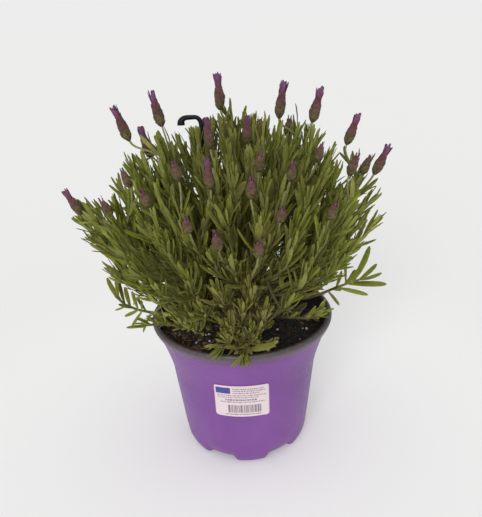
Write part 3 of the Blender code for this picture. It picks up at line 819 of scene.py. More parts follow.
def blades(b, mat, base, way, bend, length, width, thick, kappa, twist, sway, cup, tint, shape, ruffle=0.0):
    """Adds n thin closed blades.  bend is the side that a blade curls to, and its
    upper face.  kappa is the turn over the length, sway the sideways drift."""
    n = len(base)
    if n == 0:
        return
    base, way, bend = (np.asarray(a, float) for a in (base, way, bend))
    way = unit(way)
    bend = unit(bend - way * (bend * way).sum(-1, keepdims=True))
    side = np.cross(way, bend)
    col = lambda a: np.broadcast_to(np.asarray(a, float), (n,))
    length, width, thick, kappa, twist, sway, cup = map(
        col, (length, width, thick, kappa, twist, sway, cup)
    )
    s = np.array([p[0] for p in shape] + [1.0])
    w = np.array([p[1] for p in shape] + [0.0])
    R = len(shape)
    k = np.where(np.abs(kappa) < 1e-3, 1e-3, kappa)[:, None]
    ks = k * s[None]
    L = length[:, None]
    centre = (
        base[:, None]
        + way[:, None] * (L * np.sin(ks) / k)[..., None]
        + bend[:, None] * (L * (1 - np.cos(ks)) / k)[..., None]
        + side[:, None] * (L * sway[:, None] * s[None] ** 2)[..., None]
    )
    up = -way[:, None] * np.sin(ks)[..., None] + bend[:, None] * np.cos(ks)[..., None]
    tw = twist[:, None] * s[None]
    sd = side[:, None] * np.cos(tw)[..., None] + up * np.sin(tw)[..., None]
    nm = up * np.cos(tw)[..., None] - side[:, None] * np.sin(tw)[..., None]
    # cross section: edge, upper middle, edge, then back along the underside
    xs = np.array([-1.0, -0.42, 0.42, 1.0, 0.46, -0.46])
    lift = np.array([0.0, 0.92, 0.92, 0.0, 0.80, 0.80])
    down = np.array([0.0, 0.0, 0.0, 0.0, -1.0, -1.0])
    K = len(xs)
    half = width[:, None] * 0.5 * w[None]
    if ruffle:
        half = half * (1.0 + ruffle * np.sin(s[None] * 19.0 + np.arange(n)[:, None] * 1.7))
    off = (
        sd[:, :, None] * (half[..., None] * xs)[..., None]
        + nm[:, :, None]
        * (
            half[..., None] * cup[:, None, None] * lift
            + thick[:, None, None] * down * np.minimum(1.0, 0.35 + w[None, :, None])
        )[..., None]
    )
    pts = centre[:, :, None] + off
    ring = pts[:, :R]  # (n, R, K, 3)
    tip = centre[:, R]
    per = R * K + 1
    verts = np.concatenate([ring.reshape(n, R * K, 3), tip[:, None]], 1).reshape(-1, 3)
    faces, uvs = [], []
    us = np.array([0.0, 0.145, 0.355, 0.5, 0.645, 0.855, 1.0])
    for r in range(R - 1):
        for q in range(K):
            t = (q + 1) % K
            faces.append((r * K + q, r * K + t, (r + 1) * K + t, (r + 1) * K + q))
            uvs.append(((us[q], s[r]), (us[q + 1], s[r]), (us[q + 1], s[r + 1]), (us[q], s[r + 1])))
    for q in range(K):
        t = (q + 1) % K
        faces.append(((R - 1) * K + q, (R - 1) * K + t, R * K))
        uvs.append(((us[q], s[R - 1]), (us[q + 1], s[R - 1]), ((us[q] + us[q + 1]) / 2, 1.0)))
    faces.append(tuple(reversed(range(K))))
    uvs.append(tuple((us[q], 0.0) for q in reversed(range(K))))
    all_faces, all_uvs, cells = [], [], []
    for i in range(n):
        o = i * per
        all_faces += [tuple(x + o for x in f) for f in faces]
        all_uvs += uvs
        cells += [i] * len(faces)
    tint = np.repeat(np.asarray(tint, float).reshape(n, 3), per, axis=0)
    b.add(verts, all_faces, all_uvs, tint, mat, cells)


def transported(points):
    """Directions and cross directions along a polyline, carried without twist."""
    p = np.asarray(points, float)
    d = np.empty_like(p)
    d[1:-1] = p[2:] - p[:-2]
    d[0], d[-1] = p[1] - p[0], p[-1] - p[-2]
    d = unit(d)
    ref = np.cross(d[0], (0, 0, 1.0))
    if np.linalg.norm(ref) < 0.05:
        ref = np.cross(d[0], (0, 1.0, 0))
    s = [unit(ref)]
    for i in range(1, len(p)):
        v = s[-1] - d[i] * (s[-1] @ d[i])
        s.append(unit(v))
    s = np.array(s)
    return p, d, s, np.cross(d, s)


def tube(b, mat, points, radii, sides, tints, turn=0.5, squash=1.0):
    p, d, s, t = transported(points)
    n = len(p)
    radii = np.broadcast_to(np.asarray(radii, float), (n,))
    a = 2 * np.pi * (np.arange(sides) + turn) / sides
    ring = (
        p[:, None]
        + s[:, None] * (radii[:, None] * np.cos(a))[..., None]
        + t[:, None] * (radii[:, None] * np.sin(a) * squash)[..., None]
    )
    verts = ring.reshape(-1, 3)
    faces, uvs = [], []
    for i in range(n - 1):
        for k in range(sides):
            m = (k + 1) % sides
            faces.append((i * sides + k, i * sides + m, (i + 1) * sides + m, (i + 1) * sides + k))
            u0, u1 = k / sides, (k + 1) / sides
            v0, v1 = i / (n - 1), (i + 1) / (n - 1)
            uvs.append(((u0, v0), (u1, v0), (u1, v1), (u0, v1)))
    faces.append(tuple(reversed(range(sides))))
    uvs.append(tuple((k / sides, 0.0) for k in reversed(range(sides))))
    faces.append(tuple((n - 1) * sides + k for k in range(sides)))
    uvs.append(tuple((k / sides, 1.0) for k in range(sides)))
    tints = np.asarray(tints, float)
    if tints.ndim == 2:
        tints = np.repeat(tints, sides, axis=0)
    b.add(verts, faces, uvs, tints, mat)


# ------------------------------------------------------------------ plant lines
def hermite(p0, d0, p1, d1, count):
    out = []
    for i in range(count):
        t = i / (count - 1)
        out.append(
            p0 * (2 * t**3 - 3 * t**2 + 1)
            + d0 * (t**3 - 2 * t**2 + t)
            + p1 * (-2 * t**3 + 3 * t**2)
            + d1 * (t**3 - t**2)
        )
    return out


def at_length(points, distance):
    left = distance
    for a, b in zip(points, points[1:]):
        step = (b - a).length
        if left <= step or b is points[-1]:
            return a + (b - a) * (left / step), (b - a).normalized()
        left -= step
    return points[-1], (points[-1] - points[-2]).normalized()


def total_length(points):
    return sum((b - a).length for a, b in zip(points, points[1:]))


def polar(direction, reach, height):
    a = math.radians(direction)
    return Vector((reach * 0.001 * math.cos(a), reach * 0.001 * math.sin(a), height * 0.001))


def leaning(direction, lean):
    a, b = math.radians(direction), math.radians(lean)
    return Vector((math.sin(b) * math.cos(a), math.sin(b) * math.sin(a), math.cos(b)))


def rod_distance(p1, q1, p2, q2):
    d1, d2, r = q1 - p1, q2 - p2, p1 - p2
    a, e, f = d1.dot(d1), d2.dot(d2), d2.dot(r)
    c, b = d1.dot(r), d1.dot(d2)
    denom = a * e - b * b
    s = max(0.0, min(1.0, (b * f - c * e) / denom)) if denom > 1e-15 else 0.0
    t = (b * s + f) / e
    if t < 0.0:
        t, s = 0.0, max(0.0, min(1.0, -c / a))
    elif t > 1.0:
        t, s = 1.0, max(0.0, min(1.0, (b - c) / a))
    return ((p1 + d1 * s) - (p2 + d2 * t)).length


class Room:
    def __init__(self):
        self.rods = []

    def add(self, owner, points, radius):
        for a, b in zip(points, points[1:]):
            self.rods.append((owner, a.copy(), b.copy(), radius))

    def free(self, points, radius, ignore=()):
        for a, b in zip(points, points[1:]):
            for owner, c, d, r in self.rods:
                if owner in ignore:
                    continue
                reach = radius + r + GAP
                if (a + b - c - d).length * 0.5 > reach + ((b - a).length + (d - c).length) * 0.5:
                    continue
                if rod_distance(a, b, c, d) < reach:
                    return False
        return True


def clear_of_pot(points, margin):
    for p in points:
        r = math.hypot(p.x, p.y)
        if 0.0625 - margin < r < RIM_RADIUS + margin + 0.0005:
            if p.z < POT_HEIGHT + margin + 0.0006:
                return False
        elif r <= 0.0625 - margin and p.z < SOIL_TOP + 0.0045 + margin:
            return False
    return True


def crown_rings():
    z0 = SOIL_TOP + GAP
    levels = ((0.0, 9.5), (0.0035, 11.5), (0.0095, 10.0), (0.0145, 6.5), (0.017, 3.0))
    rings = []
    for n, (z, r) in enumerate(levels):
        ring = []
        for k in range(CROWN_SIDES):
            a = 2.0 * math.pi * (k - 0.5) / CROWN_SIDES + 0.04 * n
            bump = 1.0 + 0.08 * noise.noise(Vector((k * 1.7, n * 2.3, 0.5)))
            ring.append(Vector((r * 0.001 * bump * math.cos(a), r * 0.001 * bump * math.sin(a), z0 + z)))
        rings.append(ring)
    return rings


def crown_starts(rings):
    wanted = {}
    for k, shoot in enumerate(LOW_SHOOTS):
        wanted[(1, k)] = (shoot, 68.0, 0.010)
    for k, shoot in enumerate(MIDDLE_SHOOTS):
        wanted[(2, k)] = (shoot, 44.0, 0.013)
    for k, shoot in enumerate(TOP_SHOOTS):
        wanted[(3, 2 * k)] = (shoot, 16.0, 0.012)
    starts = []
    for n in range(len(rings) - 1):
        for k in range(CROWN_SIDES):
            if (n, k) not in wanted:
                continue
            j = (k + 1) % CROWN_SIDES
            quad = [rings[n][k], rings[n][j], rings[n + 1][j], rings[n + 1][k]]
            shoot, lean, length = wanted[(n, k)]
            out = leaning(shoot[0], lean)
            start = sum(quad, Vector()) / 4.0
            starts.append((shoot, start + out * length, out, start))
    return starts


def stake_points():
    top = STAKE_TOP - CROOK_RADIUS
    points = [Vector((STAKE_X, STAKE_Y, STAKE_FOOT))]
    for k in range(1, 5):
        points.append(Vector((STAKE_X, STAKE_Y, STAKE_FOOT + (top - STAKE_FOOT) * k / 4.0)))
    centre = Vector((STAKE_X - CROOK_RADIUS, STAKE_Y, top))
    flat = 0.0055
    for k in range(1, 5):
        a = math.radians(90.0 * k / 4.0)
        points.append(centre + Vector((CROOK_RADIUS * math.cos(a), 0.0, CROOK_RADIUS * math.sin(a))))
    for k in range(0, 5):
        a = math.radians(90.0 + 90.0 * k / 4.0)
        points.append(
            centre + Vector((-flat + CROOK_RADIUS * math.cos(a), 0.0, CROOK_RADIUS * math.sin(a)))
        )
    return points


def plan_plant():
    """The main stems and the flower stalks, where the frame has them."""
    rings = crown_rings()
    starts = crown_starts(rings)
    room = Room()
    room.add("crook_stake", stake_points(), STAKE_RADIUS * 1.5)
    rim = [
        polar(15.0 * k, 1000.0 * (RIM_RADIUS - 0.002), 1000.0 * (POT_HEIGHT - 0.003))
        for k in range(25)
    ]
    room.add("pot", rim, 0.0035)
    inside = [
        Vector((STAKE_X - 0.0045, STAKE_Y, STAKE_TOP - 0.0075)),
        Vector((STAKE_X - 0.0160, STAKE_Y, STAKE_TOP - 0.0075)),
    ]
    room.add("crook_gap", inside, 0.0075)
    room.add("watering_gap", [polar(293, 48, 104), polar(293, 48, 122)], 0.0100)
    lines = []
    for k, (shoot, start, out, root) in enumerate(starts):
        name = "leafy_shoot_%02d" % (k + 1)
        direction, reach, height, lean = shoot
        tip = polar(direction, reach, height)
        begin = start + out * (GAP + 0.0001)
        span = (tip - begin).length
        line = hermite(begin, out * span * 1.0, tip, leaning(direction, lean) * span * 0.9, 13)
        lines.append((name, line))
        room.add("woody_crown", [start - out * 0.012, start], STUB_HALF * 1.5)
    for name, line in lines:
        room.add(name, line, STEM_BASE * 1.45)
    stems, taken = {}, set()
    for n, entry in enumerate(HEADS):
        name = "flower_head_%02d" % (n + 1)
        direction, reach, height, length = entry
        axis = leaning(direction, 25.0 * reach / 100.0)
        middle = polar(direction, reach, height)
        length *= 0.001
        base = middle - axis * length * 0.5
        options = []
        for k, (shoot, line) in enumerate(lines):
            full = total_length(line)
            for share in (1.0, 0.84, 0.7, 0.56, 0.44):
                if (k, share) in taken:
                    continue
                p, d = at_length(line, full * share)
                way = base - p
                if way.length < 0.010 or way.z < 0.004:
                    continue
                cost = way.length + 0.05 * (1.0 - way.normalized().dot(axis))
                options.append((cost, k, share, p, d))
        options.sort(key=lambda o: o[0])
        for cost, k, share, p, d in options[:40]:
            way = (base - p).normalized()
            if share == 1.0:
                start = p + d * (GAP + 0.0003)
                lead = d
            else:
                side = (way - d * way.dot(d)).normalized()
                start = p + side * (STEM_BASE * 1.45 + STALK + GAP + 0.0004)
                lead = (d * 0.5 + side * 0.8).normalized()
            span = (base - start).length
            stalk = hermite(start, lead * span * 0.8, base, axis * span * 0.8, 9)
            body = stalk + [base + axis * length]
            ok = room.free(stalk[:-1], STALK * 1.1, (lines[k][0],))
            if ok and share != 1.0:
                ok = room.free(stalk, STALK * 0.9 + 0.0001) or share != 1.0 and all(
                    rod_distance(a, b, c, e) > STALK + STEM_BASE * 1.45 + GAP
                    for a, b in zip(stalk[1:], stalk[2:])
                    for c, e in zip(lines[k][1], lines[k][1][1:])
                )
            ok = ok and room.free(body[-2:], SPIKE_RADIUS * 1.15)
            ok = ok and clear_of_pot(stalk, 0.001)
            if ok:
                taken.add((k, share))
                stems[name] = dict(
                    stalk=stalk, axis=axis, base=base, length=length, parent=k, share=share
                )
                room.add(name, stalk, STALK * 1.1)
                room.add(name, body[-2:], SPIKE_RADIUS * 1.1)
                break
    return rings, starts, lines, stems


CROWN, STARTS, LINES, STEMS = plan_plant()
print("blooms placed:", len(STEMS), "of", len(HEADS))

# heads as rods, to keep leaves out of them
HEAD_A = np.array([s["base"] - s["axis"] * 0.001 for s in STEMS.values()])
HEAD_B = np.array([s["base"] + s["axis"] * s["length"] for s in STEMS.values()])
HEAD_R = np.array([0.0030 + 0.0012 * s["length"] / HEAD_LENGTH for s in STEMS.values()])


def in_heads(points, extra=0.0):
    """True for each point that lies in a flower head."""
    p = points[:, None]
    ab = HEAD_B - HEAD_A
    t = ((p - HEAD_A) * ab).sum(-1) / (ab * ab).sum(-1)
    near = HEAD_A + np.clip(t, 0, 1)[..., None] * ab
    return (np.linalg.norm(p - near, axis=-1) < HEAD_R + extra).any(1)


def hits_pot(points):
    r = np.hypot(points[:, 0], points[:, 1])
    z = points[:, 2]
    on_rim = (r > 0.0645) & (r < RIM_RADIUS + 0.0012) & (z < POT_HEIGHT + 0.0010)
    wall = (r >= RIM_RADIUS + 0.0014) & (z < 0.0)
    low = (r <= 0.0645) & (z < SOIL_TOP + 0.0035)
    return on_rim | wall | low


# ------------------------------------------------------------------ leafy shoots
LEAF, STEM = 0, 1


def smooth01(t):
    t = np.clip(t, 0.0, 1.0)
    return t * t * (3 - 2 * t)


def leafy(b, points, r0, r1, first=0.25, spacing=0.0066, vigour=1.0, fresh=0.6, crowd=1.0, tip=True, wood=0.3, comb=0.0, old=1.0, until=1.0):
    """A square stem along the points, with crossing pairs of leaves, small leaves in
    their corners and, if tip, a bud of upright young leaves at its end.  comb turns
    the leaves of a low shoot up towards the light."""
    pts = np.array([tuple(p) for p in points])
    seg = np.linalg.norm(np.diff(pts, axis=0), axis=1)
    run = np.r_[0, np.cumsum(seg)]
    full = run[-1]
    m = max(6, int(full / 0.009))
    at = np.linspace(0, full, m)
    fine = np.stack([np.interp(at, run, pts[:, i]) for i in range(3)], 1)
    # a slight irregular sway, none at the two ends
    env = np.sin(np.pi * at / full)
    ph = rng.uniform(0, 6.28, 3)
    fine += (np.sin(at[:, None] * 90.0 + ph) * 0.0012) * env[:, None]
    share = at / full
    woody = np.clip((share - wood * 0.4) / max(wood, 0.05) * 0.55, 0.0, 1.0)
    height = np.clip((fine[:, 2] - 0.11) / 0.15, 0, 1)
    age = np.clip(0.25 * woody + 0.75 * woody * (0.45 + 0.55 * height), 0, 1)
    rad = r0 + (r1 - r0) * share
    tint = np.stack([np.full(m, rng.rand()), age, np.zeros(m)], 1)
    tube(b, STEM, fine, rad, 4, tint, turn=rng.rand())
    p, d, s, t = transported(fine)

    # stations of the leaf pairs: closer towards the tip
    pos, x = [], full * first
    while x < min(full - 0.0012, full * until):
        pos.append(x)
        left = (full - x) / full
        x += spacing * (0.55 + 0.62 * min(1.0, left * 2.0)) * rng.uniform(0.85, 1.15)
    pos = np.array(pos)
    if len(pos) == 0:
        return
    phase = rng.uniform(0, 6.28)
    centre = np.stack([np.interp(pos, at, p[:, i]) for i in range(3)], 1)
    axis = unit(np.stack([np.interp(pos, at, d[:, i]) for i in range(3)], 1))
    sv = unit(np.stack([np.interp(pos, at, s[:, i]) for i in range(3)], 1))
    tv = np.cross(axis, sv)
    u = pos / full
    jobs = []
    for pair in (0.0, math.pi):
        ang = phase + pair + np.arange(len(pos)) * (math.pi / 2) + rng.normal(0, 0.16, len(pos))
        out = sv * np.cos(ang)[:, None] + tv * np.sin(ang)[:, None]
        jobs.append((out, u, centre, axis, "leaf"))
        # small leaves in the corners
        keep = (rng.rand(len(pos)) < 0.85 * crowd) & (u < 0.94)
        for extra in range(3):
            k = keep & (rng.rand(len(pos)) < (1.0, 0.75, 0.45)[extra])
            if k.any():
                a2 = ang[k] + rng.uniform(-0.75, 0.75, k.sum())
                out2 = sv[k] * np.cos(a2)[:, None] + tv[k] * np.sin(a2)[:, None]
                jobs.append((out2, u[k], centre[k], axis[k], "small"))
    up = np.array((0, 0, 1.0))
    for out, uu, c, ax, what in jobs:
        n = len(uu)
        low = 1.0 - smooth01((c[:, 2] - 0.125) / 0.08)
        end = smooth01((uu - 0.70) / 0.30)
        if what == "leaf":
            stray = np.where(rng.rand(n) < 0.09, rng.uniform(1.3, 1.9, n), 1.0)
            open_ = np.radians(35 - 17 * end + 13 * low) * rng.uniform(0.66, 1.25, n) * stray
            size = vigour * (0.0246 - 0.0062 * end - 0.0058 * low) * rng.uniform(0.74, 1.16, n)
            wide = (size * (0.112 + 0.018 * low) + 0.00028) * rng.uniform(0.84, 1.22, n)
            kap = rng.normal(0.20, 0.32, n) + 0.34 * low + comb * 0.25
        else:
            open_ = np.radians(30) * rng.uniform(0.4, 1.3, n)
            size = vigour * (0.0138 - 0.0020 * low) * rng.uniform(0.62, 1.35, n)
            wide = size * 0.135 * rng.uniform(0.85, 1.2, n)
            kap = rng.normal(0.25, 0.30, n)
        way = ax * np.cos(open_)[:, None] + out * np.sin(open_)[:, None]
        # leaves lift towards the light
        way = unit(way + up * (0.20 + 0.16 * low[:, None] + 0.55 * comb))
        bend = ax * 1.0 - out * 0.9 + up * 0.25
        base = c + out * 0.0004
        tipp = base + unit(way) * size[:, None]
        midp = base + unit(way) * (size * 0.55)[:, None] + unit(bend) * (size * 0.06)[:, None]
        bad = hits_pot(tipp) | hits_pot(midp) | in_heads(tipp, 0.0006) | in_heads(midp, 0.0008)
        bad |= in_view_of_soil(tipp) | in_crook(tipp) | in_crook(midp)
        k = ~bad
        if not k.any():
            continue
        n = int(k.sum())
        far = np.hypot(c[k, 0], c[k, 1]) / 0.10
        high = np.clip((c[k, 2] - 0.13) / 0.11, 0, 1)
        agev = np.clip(
            -0.04 + 0.28 * fresh + 0.32 * end[k] + 0.30 * np.clip(far + high - 0.5, 0, 1) - 0.10 * low[k]
            + rng.normal(0, 0.09, n) + (0.06 if what == "small" else 0.0),
            0,
            1,
        )
        # a withered patch low at the front, right of the middle
        q = c[k]
        gone = 0.75 * np.exp(-(((q[:, 0] - 0.021) / 0.017) ** 2 + ((q[:, 2] - 0.134) / 0.020) ** 2)) * (q[:, 1] < -0.012)
        agev = np.where(rng.rand(n) < gone, -1.0, agev)
        dull = np.clip(0.90 * low[k] ** 1.5 * (1.0 - 0.45 * end[k]) + rng.normal(0, 0.10, n), 0, 1) * old
        tint = np.stack([rng.beta(1.7, 1.7, n), agev, dull], 1)
        blades(
            b, LEAF, base[k], way[k], bend[k], size[k], wide[k],
            np.full(n, 0.00042), kap[k], rng.normal(0, 0.35, n), rng.normal(0, 0.08, n),
            0.42, tint, LEAF_SHAPE,
        )
    if tip:
        n = 7
        ang = phase + np.arange(n) * 2.4
        e, dd, ss, tt = p[-1], d[-1], s[-1], t[-1]
        out = ss * np.cos(ang)[:, None] + tt * np.sin(ang)[:, None]
        open_ = np.radians(np.linspace(24, 5, n))
        way = dd * np.cos(open_)[:, None] + out * np.sin(open_)[:, None]
        size = vigour * np.linspace(0.0165, 0.0085, n) * rng.uniform(0.80, 1.15, n)
        base = e - dd * np.linspace(0.0035, 0.0002, n)[:, None] + out * 0.0003
        tint = np.stack([rng.beta(1.7, 1.7, n), np.full(n, min(1.0, 0.55 + 0.45 * fresh)), np.zeros(n)], 1)
        ends = base + way * size[:, None]
        ok = ~(hits_pot(ends) | in_heads(ends, 0.0006) | in_view_of_soil(ends) | in_crook(ends))
        if ok.any():
            blades(
                b, LEAF, base[ok], way[ok], (dd - out * 0.9)[ok], size[ok], (size * 0.13)[ok],
                np.full(int(ok.sum()), 0.0004), rng.normal(0.30, 0.15, int(ok.sum())),
                rng.normal(0, 0.3, int(ok.sum())), 0.0, 0.42, tint[ok], LEAF_SHAPE,
            )


def in_crook(points):
    """The free space in and around the stake's crook, which stands clear of leaves."""
    x, y, z = points[:, 0], points[:, 1], points[:, 2]
    far = (y + 0.403) / 0.433
    beside = np.abs(x + 0.0315 * far) < 0.0112 * far
    level = (z > 0.319 - 0.0692 * far) & (z < 0.319 - 0.0590 * far)
    return beside & level & (far > 0.70) & (far < 1.25)


def in_view_of_soil(points):
    """The open wedges over the soil at the front right and, smaller, the front left,
    where the plant leaves the bed bare."""
    x, y, z = points[:, 0], points[:, 1], points[:, 2]
    ahead = np.clip(-y - 0.020, 0, None)
    right = (x > 0.022) & (x < 0.070) & (y < -0.004) & (z < 0.112 + ahead * 0.50)
    left = (x < -0.030) & (x > -0.060) & (y < -0.022) & (z < 0.106 + ahead * 0.50)
    return right | left


DOME_FRONT = ((0, 70), (10, 80), (20, 92), (30, 106), (40, 126), (50, 133), (60, 142), (75, 148), (90, 146))
DOME_RIGHT = ((0, 66), (10, 70), (20, 76), (24, 80), (30, 89), (37, 109), (43, 128), (50, 134), (66, 145), (77, 150), (90, 146))
DOME_LEFT = ((0, 66), (10, 70), (16, 74), (23, 83), (29, 104), (33, 127), (36, 142), (42, 141), (48, 132), (54, 129), (60, 139), (76, 149), (90, 146))


def dome(rise, direction):
    """How far the side shoots reach from the heart of the plant at that elevation:
    a bowl with a long arm to the left."""
    c = math.cos(math.radians(direction))
    side = DOME_RIGHT if c > 0 else DOME_LEFT
    a = np.interp(rise, [p[0] for p in DOME_FRONT], [p[1] for p in DOME_FRONT])
    b = np.interp(rise, [p[0] for p in side], [p[1] for p in side])
    return 0.001 * float(a + (b - a) * c * c)


def least_rise(direction):
    """The lowest elevation at which side shoots grow in that direction."""
    d = direction % 360.0
    stops = ((0, 30), (20, 24), (60, 10), (120, 10), (160, 21), (185, 27), (205, 25), (235, 22),
             (252, 12), (262, 2), (280, 2), (290, 16), (300, 26), (340, 30), (360, 30))
    return float(np.interp(d, [s[0] for s in stops], [s[1] for s in stops]))


HEART = Vector((0.0, 0.0, 0.106))

# long side shoots that break the even outline: direction, reach and height of the tip
ARM_SHOOTS = (
    (180, 112, 186),
    (187, 104, 176),
    (173, 101, 170),
    (182, 108, 196),
    (8, 100, 188),
    (350, 96, 180),
    (305, 34, 250),
    (0, 56, 238),
    (0, 66, 226),
    (355, 71, 214),
    (6, 64, 208),
    (357, 70, 197),
    (350, 62, 220),
    (180, 72, 226),
    (175, 67, 223),
    (186, 62, 226),
    (180, 81, 207),
    (96, 30, 247),
    (72, 44, 243),
    (118, 40, 244),
    (30, 62, 236),
    (272, 12, 243),
    (330, 34, 240),
)


# leaves of the two lone sprigs that lean out over the rim: where along x they
# spring from the stem, the tip's place, the width (all in millimetres) and how far
# they curve sideways
RIGHT_SPRIG = (
    (86.0, 98.8, 0.0, 159.9, 4.7, -0.17),
    (79.5, 90.4, -3.0, 142.2, 3.3, -0.10),
    (91.5, 105.7, 3.0, 143.1, 3.5, -0.12),
    (84.0, 112.7, -2.0, 127.6, 4.6, 0.03),
    (92.5, 110.0, 4.0, 134.5, 3.0, -0.16),
    (75.0, 98.3, -4.0, 119.9, 3.6, 0.04),
    (67.5, 76.6, -3.0, 111.4, 2.5, 0.06),
    (82.0, 82.3, 5.0, 156.6, 2.5, 0.10),
    (69.0, 75.0, -8.0, 131.0, 2.2, -0.10),
    (74.0, 80.0, 12.0, 134.0, 2.8, -0.10),
    (82.0, 91.0, 15.0, 133.0, 3.0, -0.08),
    (71.0, 79.0, 11.0, 118.0, 2.6, 0.08),
    (88.0, 99.0, -11.0, 134.0, 2.8, -0.08),
)
LEFT_SPRIG = (
    (-86.5, -96.3, -22.0, 152.8, 3.7, 0.18),
    (-88.8, -89.7, -22.0, 154.1, 2.8, 0.06),
    (-81.5, -84.2, -22.0, 145.0, 3.3, 0.08),
    (-76.5, -79.6, -21.0, 140.8, 2.8, 0.08),
    (-74.0, -73.8, -19.0, 131.5, 2.0, 0.05),
    (-76.0, -87.0, -24.0, 121.3, 2.7, 0.06),
    (-84.0, -93.0, -24.0, 126.7, 1.5, 0.10),
    (-73.5, -82.0, -27.0, 114.0, 2.3, -0.05),
    (-67.5, -74.3, -25.0, 107.6, 2.0, -0.10),
    (-80.0, -88.0, -36.0, 138.0, 2.6, 0.08),
    (-85.0, -90.0, -14.0, 146.0, 2.8, 0.08),
    (-71.0, -79.0, -10.0, 130.0, 2.6, 0.08),
)


# the sprig at the front, measured along y instead
FRONT_SPRIG = (
    (-74.0, 22.0, -80.0, 126.0, 4.2, -0.12),
    (-70.0, 11.0, -77.0, 135.0, 3.2, -0.08),
    (-66.0, -10.0, -75.0, 134.0, 2.9, 0.10),
    (-76.0, -9.0, -82.0, 110.0, 2.5, 0.08),
    (-75.0, 5.0, -82.5, 112.0, 2.0, -0.10),
    (-72.0, 13.0, -77.0, 120.0, 2.6, -0.08),
    (-75.0, 2.0, -83.0, 130.0, 2.6, -0.05),
    (-68.0, 1.0, -75.0, 139.0, 3.0, 0.06),
    (-70.0, -13.0, -78.0, 124.0, 2.6, 0.08),
)


def sprig(b, line, leaves, run=0):
    """Single leaves at set places along a stem; run is the axis their places are
    measured on."""
    pts = np.array([tuple(p) for p in line])
    along = np.abs(pts[:, run])
    rows = np.array(leaves)
    foot = np.stack([np.interp(np.abs(rows[:, 0]) * 0.001, along, pts[:, i]) for i in range(3)], 1)
    tip = rows[:, 1:4] * 0.001
    chord = tip - foot
    size = np.linalg.norm(chord, axis=1)
    to = unit(chord)
    face = np.tile(np.array((0.0, -0.90, 0.44)), (len(rows), 1))
    face = unit(face - to * (face * to).sum(-1, keepdims=True))
    aside = np.cross(to, face)
    sway = rows[:, 5]
    n = len(rows)
    tint = np.stack([rng.uniform(0.15, 0.65, n), rng.uniform(0.05, 0.35, n), np.full(n, 0.10)], 1)
    blades(
        b, LEAF, foot, unit(to - aside * sway[:, None]), face, size / np.sqrt(1.0 + sway**2),
        rows[:, 4] * 0.001, 0.00042, rng.normal(0.10, 0.08, n), rng.normal(0, 0.25, n), sway,
        0.34, tint, LEAF_SHAPE,
    )


def spread(count, low, near, far, offset):
    """Even directions over the dome, and the tip of a shoot for each."""
    out = []
    golden = math.pi * (3.0 - math.sqrt(5.0))
    for i in range(count):
        z = low + (1.0 - low) * (i + 0.5) / count
        rise = math.degrees(math.asin(z)) + rng.uniform(-3, 3)
        direction = (math.degrees(i * golden + offset) + rng.uniform(-6, 6)) % 360.0
        if rise < least_rise(direction):
            continue
        reach = float(dome(min(rise, 90.0), direction)) * rng.uniform(near, far)
        a, e = math.radians(direction), math.radians(rise)
        tip = HEART + Vector((math.cos(e) * math.cos(a), math.cos(e) * math.sin(a), math.sin(e))) * reach
        out.append((direction, rise, tip))
    return out


